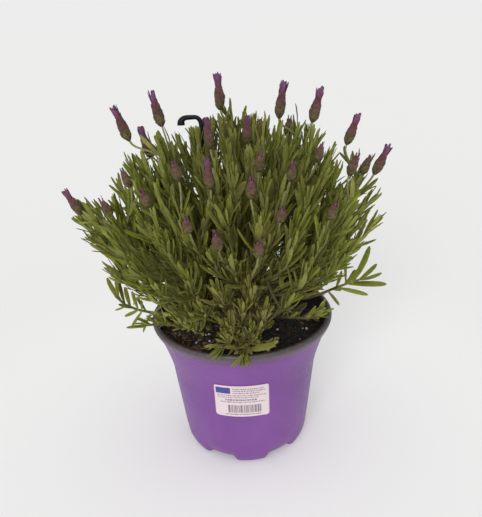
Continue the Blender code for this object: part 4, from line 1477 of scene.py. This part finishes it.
def grow_branches(mats):
    shoots = [[] for _ in LINES]
    for k, (name, line) in enumerate(LINES):
        low = k < len(LOW_SHOOTS)
        lone = k in (0, 4)
        shoots[k].append(
            dict(points=line, r0=STEM_BASE, r1=0.0008, first=0.22 if low else 0.28, vigour=0.8 if lone else 1.0,
                 fresh=0.45 if low else 0.55, crowd=0.9, wood=0.35, comb=0.35 if low else 0.0,
                 until=0.50 if lone else 1.0, tip=not lone)
        )
    for n, s in sorted(STEMS.items()):
        # the leafy part of a flower's stem, below the bare stalk
        full = total_length(s["stalk"])
        bare = min(0.020, full * 0.55)
        cut = full - bare
        pts = [at_length(s["stalk"], cut * i / 8.0)[0] for i in range(9)]
        if cut > 0.006:
            shoots[s["parent"]].append(
                dict(points=pts, r0=0.0010, r1=0.00085, first=0.12, vigour=0.95, fresh=0.75,
                     crowd=0.9, tip=False, wood=0.02, spacing=0.0062)
            )
    tips = [np.array(l[1][-1]) for l in LINES]
    mids = [np.array(at_length(l[1], total_length(l[1]) * 0.6)[0]) for l in LINES]
    outer = [(d, r, t, 1.0) for d, r, t in spread(196, 0.03, 0.87, 0.985, 0.0)]
    inner = [(d, r, t, 0.55) for d, r, t in spread(84, 0.18, 0.48, 0.82, 1.3)]
    extra = []
    for direction, reach, height in ARM_SHOOTS:
        tip = polar(direction, reach, height)
        way = tip - HEART
        extra.append((direction, math.degrees(math.asin(way.z / way.length)), tip, 1.0))
    for direction, rise, tip, vig in outer + inner + extra:
        if math.hypot(tip.x - STAKE_X, tip.y - STAKE_Y) < 0.006:
            continue
        t = np.array(tip)
        d = [min(np.linalg.norm(t - a), np.linalg.norm(t - b) * 1.05) for a, b in zip(tips, mids)]
        k = int(np.argmin(d))
        line = LINES[k][1]
        full = total_length(line)
        share = rng.uniform(0.05, 0.30)
        p, dd = at_length(line, full * share)
        way = (tip - p).normalized()
        span = (tip - p).length
        lead = (dd * 0.5 + way * 0.5).normalized()
        # shoots turn upright at the front and back and keep leaning at the sides
        side = math.cos(math.radians(direction)) ** 2
        lean = (90.0 - rise) * (0.16 + 0.50 * side) + rng.normal(0, 3.0)
        end = leaning(direction, max(4.0, lean))
        pts = hermite(p, lead * span * 0.9, tip, end * span * 0.85, 12)
        if not all(clear_of_pot([q], 0.0012) for q in pts[2:]):
            pts = [q + Vector((0, 0, 0.008 * math.sin(math.pi * i / 11.0))) for i, q in enumerate(pts)]
        shoots[k].append(
            dict(points=pts, r0=0.0011, r1=0.0007, first=0.20, vigour=rng.uniform(0.90, 1.10) * (1.0 if vig == 1.0 else 0.9),
                 fresh=rng.uniform(0.30, 0.90) * (0.45 + 0.55 * min(1.0, rise / 50.0)) * vig, crowd=0.95, wood=0.22)
        )
    total = 0
    for k, (name, line) in enumerate(LINES):
        b = Build()
        for s in shoots[k]:
            leafy(b, **s)
        if k in (0, 4):
            sprig(b, line, LEFT_SPRIG if k else RIGHT_SPRIG)
        if k == 6:
            sprig(b, line, FRONT_SPRIG, run=1)
        ob = b.object("lavender_branch_%02d" % (k + 1), mats, angle=50.0)
        total += len(ob.data.polygons)
        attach(ob, "root")
        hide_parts(name)
    print("branch faces:", total)


# ------------------------------------------------------------------ flower heads
def grow_bloom(name, s, index, mats):
    SPIKE, TUFT, STALKM = 0, 1, 2
    b = Build()
    axis = np.array(s["axis"])
    base = np.array(s["base"])
    length = s["length"]
    scale = length / HEAD_LENGTH
    ripe = float(np.clip((scale - 0.62) / 0.28, 0.0, 1.0)) * rng.uniform(0.85, 1.0)
    girth = SPIKE_RADIUS * (0.70 + 0.18 * scale)
    spike = length * 0.64
    pts = np.array([tuple(q) for q in s["stalk"]] + [tuple(base + axis * 0.0015)])
    m = len(pts)
    tint = np.stack([np.full(m, rng.rand()), np.linspace(0.72, 1.0, m), np.zeros(m)], 1)
    tube(b, STALKM, pts, np.linspace(0.00095, 0.00075, m), 4, tint)
    ref = unit(np.cross(axis, (0.3, 0.1, 1.0)))
    ref2 = np.cross(axis, ref)
    # plump core
    prof = ((0.0, 0.30), (0.06, 0.66), (0.2, 0.86), (0.45, 0.90), (0.75, 0.74), (1.0, 0.42), (1.12, 0.30))
    core = np.array([base + axis * spike * h for h, _ in prof])
    rad = np.array([girth * r * 0.86 for _, r in prof])
    ct = np.stack([np.full(len(prof), 0.3), [h * 0.8 for h, _ in prof], np.full(len(prof), ripe)], 1)
    tube(b, SPIKE, core, rad, 10, ct)

    def radius(h):
        return girth * np.interp(h, [0.0, 0.08, 0.25, 0.5, 0.78, 1.0], [0.34, 0.72, 0.95, 1.0, 0.82, 0.50])

    whorls = int(round(5 + 4 * scale))
    spin = rng.uniform(0, 6.28)
    B, W, BE, L, WD, KP, TN = [], [], [], [], [], [], []
    for wi in range(whorls):
        h = 0.01 + 0.90 * wi / (whorls - 1)
        r = radius(h)
        n = 5
        for j in range(n):
            a = spin + 2 * math.pi * (j + 0.5 * (wi % 2)) / n + rng.normal(0, 0.05)
            out = ref * math.cos(a) + ref2 * math.sin(a)
            hh = h * spike + rng.normal(0, 0.00015)
            # the scale follows the body: outwards below, inwards above
            slope = (radius(min(1.0, h + 0.2)) - r) / (0.2 * spike)
            way = unit(axis + out * (slope + rng.uniform(0.16, 0.34)))
            B.append(base + axis * hh + out * (r * 0.78))
            W.append(way)
            BE.append(out)
            L.append(spike * (0.30 if h < 0.8 else 0.26) * rng.uniform(0.92, 1.1))
            WD.append(2 * r * math.sin(math.pi / n) * 1.22)
            KP.append(rng.uniform(-0.45, 0.02) + 0.20 * (h > 0.8))
            TN.append((rng.rand(), min(1.0, h * 0.95 + rng.normal(0, 0.04)), ripe))
    n = len(B)
    blades(b, SPIKE, B, W, BE, L, WD, 0.00034, KP, 0.0, rng.normal(0, 0.03, n), 0.36, TN, SCALE_SHAPE)

    # tuft: a bundle of thin upright bracts, flaring at the top of the ripe heads
    top = base + axis * spike * 0.84
    B, W, BE, L, WD, KP, TN = [], [], [], [], [], [], []
    rows = ((7, 0.05, 0.02, 0.86), (6, 0.13, -0.08, 0.66), (4, 0.0, 0.20, 0.76)) if ripe > 0.35 else ((4, 0.05, 0.12, 0.7),)
    tall = length - spike * 0.84
    for count, flare, tight, wide in rows:
        off = rng.uniform(0, 6.28)
        for j in range(count):
            a = off + 2 * math.pi * j / count + rng.normal(0, 0.12)
            out = ref * math.cos(a) + ref2 * math.sin(a)
            B.append(top + out * girth * (0.46 - tight) + axis * rng.normal(0, 0.0003))
            W.append(unit(axis + out * rng.uniform(-0.02, 0.08)))
            BE.append(out)
            L.append(tall * rng.uniform(0.66, 1.04))
            WD.append(girth * (0.98 if ripe > 0.35 else 0.7) * wide * rng.uniform(0.85, 1.15))
            KP.append(rng.uniform(-0.06, flare) * (0.6 + ripe))
            TN.append((rng.rand(), rng.rand(), min(1.0, ripe * 1.1)))
    n = len(B)
    blades(b, TUFT, B, W, BE, L, WD, 0.00022, KP, rng.normal(0, 0.4, n), rng.normal(0, 0.06, n), 0.30, TN, TUFT_SHAPE, ruffle=0.16)
    ob = b.object(name.replace("flower_head", "lavender_bloom"), mats, angle=55.0)
    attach(ob, "root")
    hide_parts(name)
    return ob


# ------------------------------------------------------------------ woody crown
def grow_crown(mat):
    """The gnarled foot of the plant with the thick starts of its main stems."""
    b = Build()
    z0 = SOIL_TOP - 0.0035
    m, sides = 16, 28
    prof = ((-0.2, 9.0), (0.0, 11.0), (0.18, 11.8), (0.4, 11.2), (0.62, 9.4), (0.82, 6.6), (0.95, 3.6), (1.0, 1.5))
    verts, faces, uvs = [], [], []
    hs = np.linspace(-0.2, 1.0, m)
    for i, h in enumerate(hs):
        r = np.interp(h, [p[0] for p in prof], [p[1] for p in prof]) * 0.001
        z = z0 + 0.0035 + 0.017 * h
        for k in range(sides):
            a = 2 * math.pi * k / sides
            v = Vector((math.cos(a) * 3.0, math.sin(a) * 3.0, h * 2.0))
            rr = r * (1 + 0.16 * noise.noise(v) + 0.07 * noise.noise(v * 3.1))
            verts.append((rr * math.cos(a), rr * math.sin(a), z + 0.0012 * noise.noise(v * 2.0)))
    for i in range(m - 1):
        for k in range(sides):
            j = (k + 1) % sides
            faces.append((i * sides + k, i * sides + j, (i + 1) * sides + j, (i + 1) * sides + k))
            uvs.append(((k / sides, i / m), ((k + 1) / sides, i / m), ((k + 1) / sides, (i + 1) / m), (k / sides, (i + 1) / m)))
    faces.append(tuple(reversed(range(sides))))
    uvs.append(tuple((0.5 + 0.4 * math.cos(2 * math.pi * k / sides), 0.5 + 0.4 * math.sin(2 * math.pi * k / sides)) for k in reversed(range(sides))))
    faces.append(tuple((m - 1) * sides + k for k in range(sides)))
    uvs.append(tuple((0.5 + 0.4 * math.cos(2 * math.pi * k / sides), 0.5 + 0.4 * math.sin(2 * math.pi * k / sides)) for k in range(sides)))
    b.add(verts, faces, uvs, (0.5, 0.2, 0.0), 0)
    for (shoot, end, out, root), (name, line) in zip(STARTS, LINES):
        inner = root - out * 0.004
        stop = at_length(line, total_length(line) * 0.10)[0]
        pts = [inner, root + out * 0.002, root.lerp(end, 0.6), end, line[0].lerp(stop, 0.5), stop]
        n = len(pts)
        tube(b, 0, pts, np.linspace(0.0034, 0.0017, n), 8, (rng.rand(), 0.2, 0.0), turn=rng.rand())
    ob = b.object("crown_wood", [mat], angle=60.0)
    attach(ob, "root")
    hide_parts("woody_crown")
    return ob


# ------------------------------------------------------------------ pot
def smooth(t):
    t = max(0.0, min(1.0, t))
    return t * t * (3.0 - 2.0 * t)


def recess(direction):
    turn = (direction - FOOT_PHASE) / (2.0 * math.pi) * FEET
    away = abs(turn - round(turn)) * 2.0
    return smooth((away - 0.42) / 0.22)


def wall_radius(z):
    rise = (z - FLARE_FROM) / (POT_HEIGHT - RIM_BAND - FLARE_FROM)
    return WALL_FOOT + WALL_TAPER * z + FLARE_OUT * max(0.0, rise) ** 1.5


def lathe(profile, segments, name, mats):
    """profile: list of (function (a) -> (r, z), material index of the band that follows)."""
    bm = bmesh.new()
    uv = bm.loops.layers.uv.new("shape")
    rings = []
    for point, _ in profile:
        ring = []
        for i in range(segments):
            a = 2.0 * math.pi * i / segments
            r, z = point(a)
            ring.append(bm.verts.new((r * math.cos(a), r * math.sin(a), z)))
        rings.append(ring)
    for n in range(len(rings) - 1):
        for i in range(segments):
            j = (i + 1) % segments
            f = bm.faces.new((rings[n][i], rings[n][j], rings[n + 1][j], rings[n + 1][i]))
            f.material_index = profile[n][1]
            f.smooth = True
    for ring, flip in ((rings[0], True), (rings[-1], False)):
        c = bm.verts.new((0, 0, ring[0].co.z))
        for i in range(segments):
            j = (i + 1) % segments
            f = bm.faces.new((ring[i], ring[j], c))
            f.material_index = profile[0][1] if flip else profile[-1][1]
    bmesh.ops.recalc_face_normals(bm, faces=bm.faces[:])
    me = bpy.data.meshes.new(name)
    bm.to_mesh(me)
    bm.free()
    for m in mats:
        me.materials.append(m)
    ob = bpy.data.objects.new(name, me)
    bpy.context.scene.collection.objects.link(ob)
    return ob


def make_pot(outside, inside, rim):
    top = POT_HEIGHT
    under = POT_HEIGHT - RIM_BAND
    OUT, INN, RIM = 0, 1, 2
    prof = []

    def add(fn, mat):
        prof.append((fn, mat))

    def base(r, share):
        return lambda a: (r, RECESS_LIFT * recess(a) * share)

    for r, share in ((0.012, 0.0), (0.024, 0.0), (RECESS_IN - 0.0006, 0.0), (RECESS_IN + 0.0006, 0.18), (RECESS_IN + 0.0020, 0.82), (RECESS_IN + 0.0032, 1.0), (0.038, 1.0)):
        add(base(r, share), OUT)

    def corner(off, z):
        def point(a):
            rc = recess(a)
            return (wall_radius(z) - off - 0.0014 * rc, RECESS_LIFT * rc + z)
        return point

    for off, z in ((0.0054, 0.0), (0.0044, 0.00015), (0.0034, 0.0007), (0.0026, 0.0016), (0.0018, 0.0030), (0.0010, 0.0050)):
        add(corner(off, z), OUT)

    def wall(z):
        # the raised parts run a little way up the wall and fade out
        def point(a):
            fade = 1.0 - smooth((z - 0.003) / 0.015)
            return (wall_radius(z) - (0.0014 * recess(a)) * fade, z + RECESS_LIFT * recess(a) * fade)
        return point

    for z, off in ((0.0075, 0.00035), (0.010, 0.0001), (0.013, 0.0), (0.016, 0.0), (0.020, 0.0)):
        add(lambda a, z=z, off=off: (wall(z)(a)[0] - off, wall(z)(a)[1]), OUT)
    for i in range(1, 9):
        z = 0.020 + (0.066 - 0.020) * i / 8.0
        add(lambda a, z=z: (wall_radius(z) + 0.00010 * math.sin(3 * a + z * 60), z), OUT)
    for i in range(1, 15):
        z = 0.066 + (under - 0.0006 - 0.066) * i / 14.0
        add(lambda a, z=z: (wall_radius(z), z), OUT)
    w = wall_radius(under)
    for r, z in (
        (w + 0.0000, under - 0.0001),
        (w + 0.0004, under + 0.0001),
        (w + 0.0009, under + 0.0006),
        (w + 0.0016, under + 0.0016),
        (RIM_RADIUS - 0.0013, under + 0.0030),
        (RIM_RADIUS - 0.0006, under + 0.0044),
        (RIM_RADIUS - 0.0002, under + 0.0056),
    ):
        add(lambda a, r=r, z=z: (r, z), OUT)
    for r, z in (
        (RIM_RADIUS, top - 0.0024),
        (RIM_RADIUS - 0.0001, top - 0.0015),
        (RIM_RADIUS - 0.0006, top - 0.0007),
        (RIM_RADIUS - 0.0013, top - 0.0002),
        (RIM_RADIUS - 0.0022, top),
        (RIM_RADIUS - 0.0031, top - 0.0002),
        (RIM_RADIUS - 0.0038, top - 0.0006),
        (RIM_RADIUS - 0.0043, top - 0.0014),
        (RIM_RADIUS - 0.0046, top - 0.0026),
    ):
        add(lambda a, r=r, z=z: (r, z), RIM)
    for z in (0.1000, 0.0978, 0.092, 0.083, 0.069, 0.018):
        add(lambda a, z=z: (wall_radius(z) - WALL, z), INN)
    add(lambda a: (wall_radius(0.0054) - WALL - 0.0016 - 0.0014 * recess(a), 0.0046 + RECESS_LIFT * recess(a)), INN)
    add(lambda a: (wall_radius(0.001) - WALL - 0.0054, WALL + RECESS_LIFT * recess(a)), INN)
    add(lambda a: (RECESS_IN + 0.0032, WALL + RECESS_LIFT * recess(a)), INN)
    add(lambda a: (RECESS_IN - 0.001, WALL), INN)
    ob = lathe(prof, 192, "nursery_pot", [outside, inside, rim])
    # drain holes
    for k in range(FEET):
        a = FOOT_PHASE + (k + 0.5) * 2.0 * math.pi / FEET
        cut = bmesh.new()
        bmesh.ops.create_cone(cut, cap_ends=True, segments=28, radius1=DRAIN_RADIUS, radius2=DRAIN_RADIUS, depth=0.008)
        bmesh.ops.translate(cut, verts=cut.verts[:], vec=(DRAIN_AT * math.cos(a), DRAIN_AT * math.sin(a), RECESS_LIFT + 0.0006))
        cm = bpy.data.meshes.new("cut")
        cut.to_mesh(cm)
        cut.free()
        co = bpy.data.objects.new("cut", cm)
        bpy.context.scene.collection.objects.link(co)
        mod = ob.modifiers.new("drain", "BOOLEAN")
        mod.operation, mod.solver, mod.object = "DIFFERENCE", "EXACT", co
        bpy.context.view_layer.objects.active = ob
        bpy.context.view_layer.update()
        dg = bpy.context.evaluated_depsgraph_get()
        new = bpy.data.meshes.new_from_object(ob.evaluated_get(dg))
        ob.modifiers.clear()
        ob.data = new
        bpy.data.objects.remove(co)
    ob.data.name = "nursery_pot"
    ob.data.shade_smooth()
    ob.data.set_sharp_from_angle(angle=math.radians(38))
    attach(ob, "root")
    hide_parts("pot")
    return ob


def make_sticker(mat):
    b = Build()
    across, up = 48, 28
    round_low, round_high = 0.0024, 0.0010
    layers = []
    half = STICKER_WIDTH / 2.0
    tall = STICKER_HIGH - STICKER_LOW
    for lift in (GAP * 0.4, GAP * 0.4 + STICKER_THICK * 0.75):
        grid = []
        for j in range(up + 1):
            v = j / up
            zz = v * tall
            # rounded corners: the row's half width follows the corner's arc
            def inset(d, r):
                return 0.0 if d >= r else r - math.sqrt(max(0.0, r * r - (r - d) ** 2))
            trim = inset(zz, round_low) + inset(tall - zz, round_high)
            row = []
            for i in range(across + 1):
                u = (i / across - 0.5) * 2.0
                z = STICKER_LOW + zz
                # a corner that has begun to lift
                peel = 0.0005 * smooth((u - 0.86) / 0.14) * smooth((0.10 - v) / 0.10)
                r = wall_radius(z) + lift + 0.0001 + peel
                a = STICKER_MID + u * (half - trim) / wall_radius(z)
                row.append((r * math.cos(a), r * math.sin(a), z))
            grid.append(row)
        layers.append(grid)
    n = (across + 1) * (up + 1)
    verts = [p for g in layers for row in g for p in row]
    idx = lambda l, j, i: l * n + j * (across + 1) + i
    faces, uvs, cells = [], [], []
    for l in (0, 1):
        for j in range(up):
            for i in range(across):
                q = (idx(l, j, i), idx(l, j, i + 1), idx(l, j + 1, i + 1), idx(l, j + 1, i))
                t = ((i / across, j / up), ((i + 1) / across, j / up), ((i + 1) / across, (j + 1) / up), (i / across, (j + 1) / up))
                if l == 0:
                    q, t = q[::-1], t[::-1]
                faces.append(q)
                uvs.append(t)
                cells.append(1 - l)
    edge = [(0, i) for i in range(across)] + [(j, across) for j in range(up)]
    edge += [(up, i) for i in range(across, 0, -1)] + [(j, 0) for j in range(up, 0, -1)]
    for k in range(len(edge)):
        (j0, i0), (j1, i1) = edge[k], edge[(k + 1) % len(edge)]
        faces.append((idx(0, j0, i0), idx(0, j1, i1), idx(1, j1, i1), idx(1, j0, i0)))
        e0, e1 = (i0 / across, j0 / up), (i1 / across, j1 / up)
        uvs.append((e0, e1, e1, e0))
        cells.append(1)
    b.add(verts, faces, uvs, (0.5, 0.5, 0.0), 0, cells)
    ob = b.object("care_sticker", [mat], angle=40.0)
    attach(ob, "root")
    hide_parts("pot_sticker")
    return ob


# ------------------------------------------------------------------ soil
def soil_height(x, y):
    r = math.hypot(x, y)
    lump = noise.noise(Vector((x * 55.0, y * 55.0, 3.1))) * SOIL_LUMP
    lump += noise.noise(Vector((x * 150.0, y * 150.0, 8.7))) * SOIL_LUMP * 0.45
    bank = 0.0030 * smooth((-x * 0.8 - y * 0.5 - 0.012) / 0.035)
    hollow = -0.0030 * smooth((x * 0.7 - y * 0.5 - 0.018) / 0.030)
    return SOIL_TOP + (lump + bank + hollow) * smooth((r - 0.015) / 0.012)


def fine_soil(x, y):
    z = soil_height(x, y)
    z += noise.noise(Vector((x * 420.0, y * 420.0, 1.3))) * 0.0006
    z += noise.noise(Vector((x * 1100.0, y * 1100.0, 4.4))) * 0.0004
    return z


def make_soil(mat):
    b = Build()

    def inside(z):
        return wall_radius(min(z, 0.0978)) - WALL - GAP - 0.0002

    segments = 120
    rings = []
    for r, z in ((inside(SOIL_FLOOR) - 0.0064, SOIL_FLOOR), (inside(0.0105) - 0.0026, 0.0105), (inside(0.019), 0.019), (inside(0.069), 0.069), (inside(0.083), 0.083), (inside(0.092), 0.092)):
        rings.append([(r * math.cos(2 * math.pi * i / segments), r * math.sin(2 * math.pi * i / segments), z) for i in range(segments)])
    steps = 44
    for n in range(steps):
        share = 1.0 - n / steps
        r = inside(SOIL_TOP) * share
        ring = []
        for i in range(segments):
            a = 2 * math.pi * i / segments
            x, y = r * math.cos(a), r * math.sin(a)
            z = fine_soil(x, y)
            if n == 0:
                rr = inside(z)
                x, y = rr * math.cos(a), rr * math.sin(a)
            ring.append((x, y, z))
        rings.append(ring)
    verts = [p for ring in rings for p in ring]
    faces, uvs = [], []

    def flat(p):
        return (0.5 + p[0] / 0.15, 0.5 + p[1] / 0.15)

    for n in range(len(rings) - 1):
        for i in range(segments):
            j = (i + 1) % segments
            faces.append((n * segments + i, n * segments + j, (n + 1) * segments + j, (n + 1) * segments + i))
            uvs.append(tuple(flat(verts[q]) for q in faces[-1]))
    verts.append((0, 0, SOIL_FLOOR))
    verts.append((0, 0, SOIL_TOP))
    c0, c1 = len(verts) - 2, len(verts) - 1
    last = (len(rings) - 1) * segments
    for i in range(segments):
        j = (i + 1) % segments
        faces.append((j, i, c0))
        uvs.append(tuple(flat(verts[q]) for q in faces[-1]))
        faces.append((last + i, last + j, c1))
        uvs.append(tuple(flat(verts[q]) for q in faces[-1]))
    b.add(verts, faces, uvs, (0.45, 0.0, 0.0), 0)

    # loose crumbs, bark chips and perlite
    ico = bmesh.new()
    bmesh.ops.create_icosphere(ico, subdivisions=2, radius=1.0)
    iv = np.array([tuple(v.co) for v in ico.verts])
    ifc = [tuple(v.index for v in f.verts) for f in ico.faces]
    ico.free()
    iuv = []
    for f in ifc:
        iuv.append(tuple((0.5 + 0.45 * iv[q][0], 0.5 + 0.45 * iv[q][1]) for q in f))
    edge = inside(SOIL_TOP) - 0.0015
    for k in range(2100):
        r = edge * math.sqrt(rng.uniform(0.03, 1.0))
        a = rng.uniform(0, 2 * math.pi)
        x, y = r * math.cos(a), r * math.sin(a)
        if math.hypot(x - STAKE_X, y - STAKE_Y) < 0.0035:
            continue
        front_left = smooth((-x * 0.8 - y * 0.5 - 0.010) / 0.03)
        pick = rng.rand()
        if pick < 0.005 + 0.045 * front_left:
            kind, size, ext = 1.0, rng.uniform(0.0006, 0.0013), (1.0, 0.9, 0.8)
        elif pick < 0.045 + 0.36 * front_left:
            kind, size, ext = 0.5, rng.uniform(0.0007, 0.0019), (1.6, 0.8, 0.45)
        else:
            kind, size, ext = 0.0, rng.uniform(0.0005, 0.0017), (1.1, 0.95, 0.75)
        q = np.array(Matrix.Rotation(rng.uniform(0, 6.28), 3, "Z") @ Matrix.Rotation(rng.normal(0, 0.5), 3, "X"))
        seed = rng.uniform(0, 100)
        wob = np.array([1.0 + 0.42 * noise.noise(Vector(v) * 1.6 + Vector((seed, 0, 0))) for v in iv])
        pts = (iv * wob[:, None] * size * np.array(ext)) @ q.T
        if r + pts[:, 0].max() > edge + 0.0014:
            continue
        z = fine_soil(x, y) + size * 0.25
        b.add(pts + (x, y, z), ifc, iuv, (rng.rand(), kind, 0.0), 0)
    ob = b.object("potting_soil_bed", [mat], angle=60.0)
    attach(ob, "root")
    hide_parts("soil")
    return ob


def make_stake(mat):
    """The stake's shaft, and a flat-topped crook that ends in a short cut-off drop."""
    b = Build()
    top, drop = 0.2557, 0.0389
    pts = [Vector((STAKE_X, STAKE_Y, STAKE_FOOT + (0.2500 - STAKE_FOOT) * k / 8.0)) for k in range(9)]

    def turn(cx, cz, rx, rz, a0, a1, count):
        for k in range(1, count + 1):
            a = math.radians(a0 + (a1 - a0) * k / count)
            pts.append(Vector((cx + rx * math.cos(a), STAKE_Y, cz + rz * math.sin(a))))

    turn(STAKE_X - 0.0046, 0.2500, 0.0046, top - 0.2500, 0, 90, 8)
    pts.append(Vector((-0.0322, STAKE_Y, top)))
    turn(-drop + 0.0048, top - 0.0042, 0.0048, 0.0042, 90, 180, 7)
    pts.append(Vector((-drop, STAKE_Y, 0.2503)))
    n = len(pts)
    run = np.linspace(0, 1, n)
    rad = np.interp(run, [0.0, 0.05, 0.12, 0.34, 0.62, 0.78, 0.90, 1.0], [0.0007, 0.0015, 0.0017, 0.0018, 0.0016, 0.0020, 0.0027, 0.0029])
    tube(b, 0, pts, rad, 12, (0.5, 0.5, 0.0), squash=0.85)
    ob = b.object("crook_hook", [mat], angle=50.0)
    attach(ob, "root")
    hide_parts("crook_stake")
    return ob


# ------------------------------------------------------------------ build it
leaf_mat = make_leaf_material()
stem_mat = make_stem_material()
bark_mat = make_bark_material()
make_pot(make_pot_material(), make_inside_material(), make_rim_material())
make_sticker(make_sticker_material())
make_soil(make_soil_material())
make_stake(make_stake_material())
grow_crown(bark_mat)
grow_branches([leaf_mat, stem_mat])
spike_mat, tuft_mat = make_spike_material(), make_tuft_material()
for i, (name, s) in enumerate(sorted(STEMS.items())):
    grow_bloom(name, s, i, [spike_mat, tuft_mat, stem_mat])

# ------------------------------------------------------------------ stage
bpy.ops.mesh.primitive_circle_add(vertices=128, radius=60.0, fill_type="NGON", location=(0, 0, -0.0002))
floor = bpy.context.object
floor.name = "studio_floor"
floor.data.materials.append(make_floor_material())

world = bpy.data.worlds.new("studio")
bpy.context.scene.world = world
world.use_nodes = True
bg = world.node_tree.nodes["Background"]
bg.inputs["Color"].default_value = (1.0, 1.0, 1.0, 1.0)
bg.inputs["Strength"].default_value = SKY


key_data = bpy.data.lights.new("key", "SUN")
key_data.energy = KEY
key_data.angle = math.radians(40.0)
key_data.color = (1.0, 0.99, 0.97)
key = bpy.data.objects.new("key", key_data)
towards = Vector(
    (
        math.cos(KEY_RISE) * math.cos(KEY_TURN),
        math.cos(KEY_RISE) * math.sin(KEY_TURN),
        math.sin(KEY_RISE),
    )
)
key.rotation_euler = (-towards).to_track_quat("-Z", "Y").to_euler()
bpy.context.scene.collection.objects.link(key)

# ------------------------------------------------------------------ camera
pitch, yaw, roll = math.radians(22.32), math.radians(0.16), math.radians(-2.49)
cam_data = bpy.data.cameras.new("camera")
cam_data.lens = 40.0
cam_data.sensor_width = 36.0
cam_data.sensor_fit = "AUTO"
cam_data.clip_start = 0.01
cam = bpy.data.objects.new("camera", cam_data)
bpy.context.scene.collection.objects.link(cam)
forward = Vector((math.sin(yaw) * math.cos(pitch), math.cos(yaw) * math.cos(pitch), -math.sin(pitch)))
right = forward.cross(Vector((0, 0, 1))).normalized()
upv = right.cross(forward)
r2 = right * math.cos(roll) + upv * math.sin(roll)
u2 = -right * math.sin(roll) + upv * math.cos(roll)
rot = Matrix((r2, u2, -forward)).transposed().to_4x4()
cam.matrix_world = Matrix.Translation((0.0, -0.403, 0.319)) @ rot
bpy.context.scene.camera = cam
bpy.context.scene.view_settings.view_transform = "Standard"
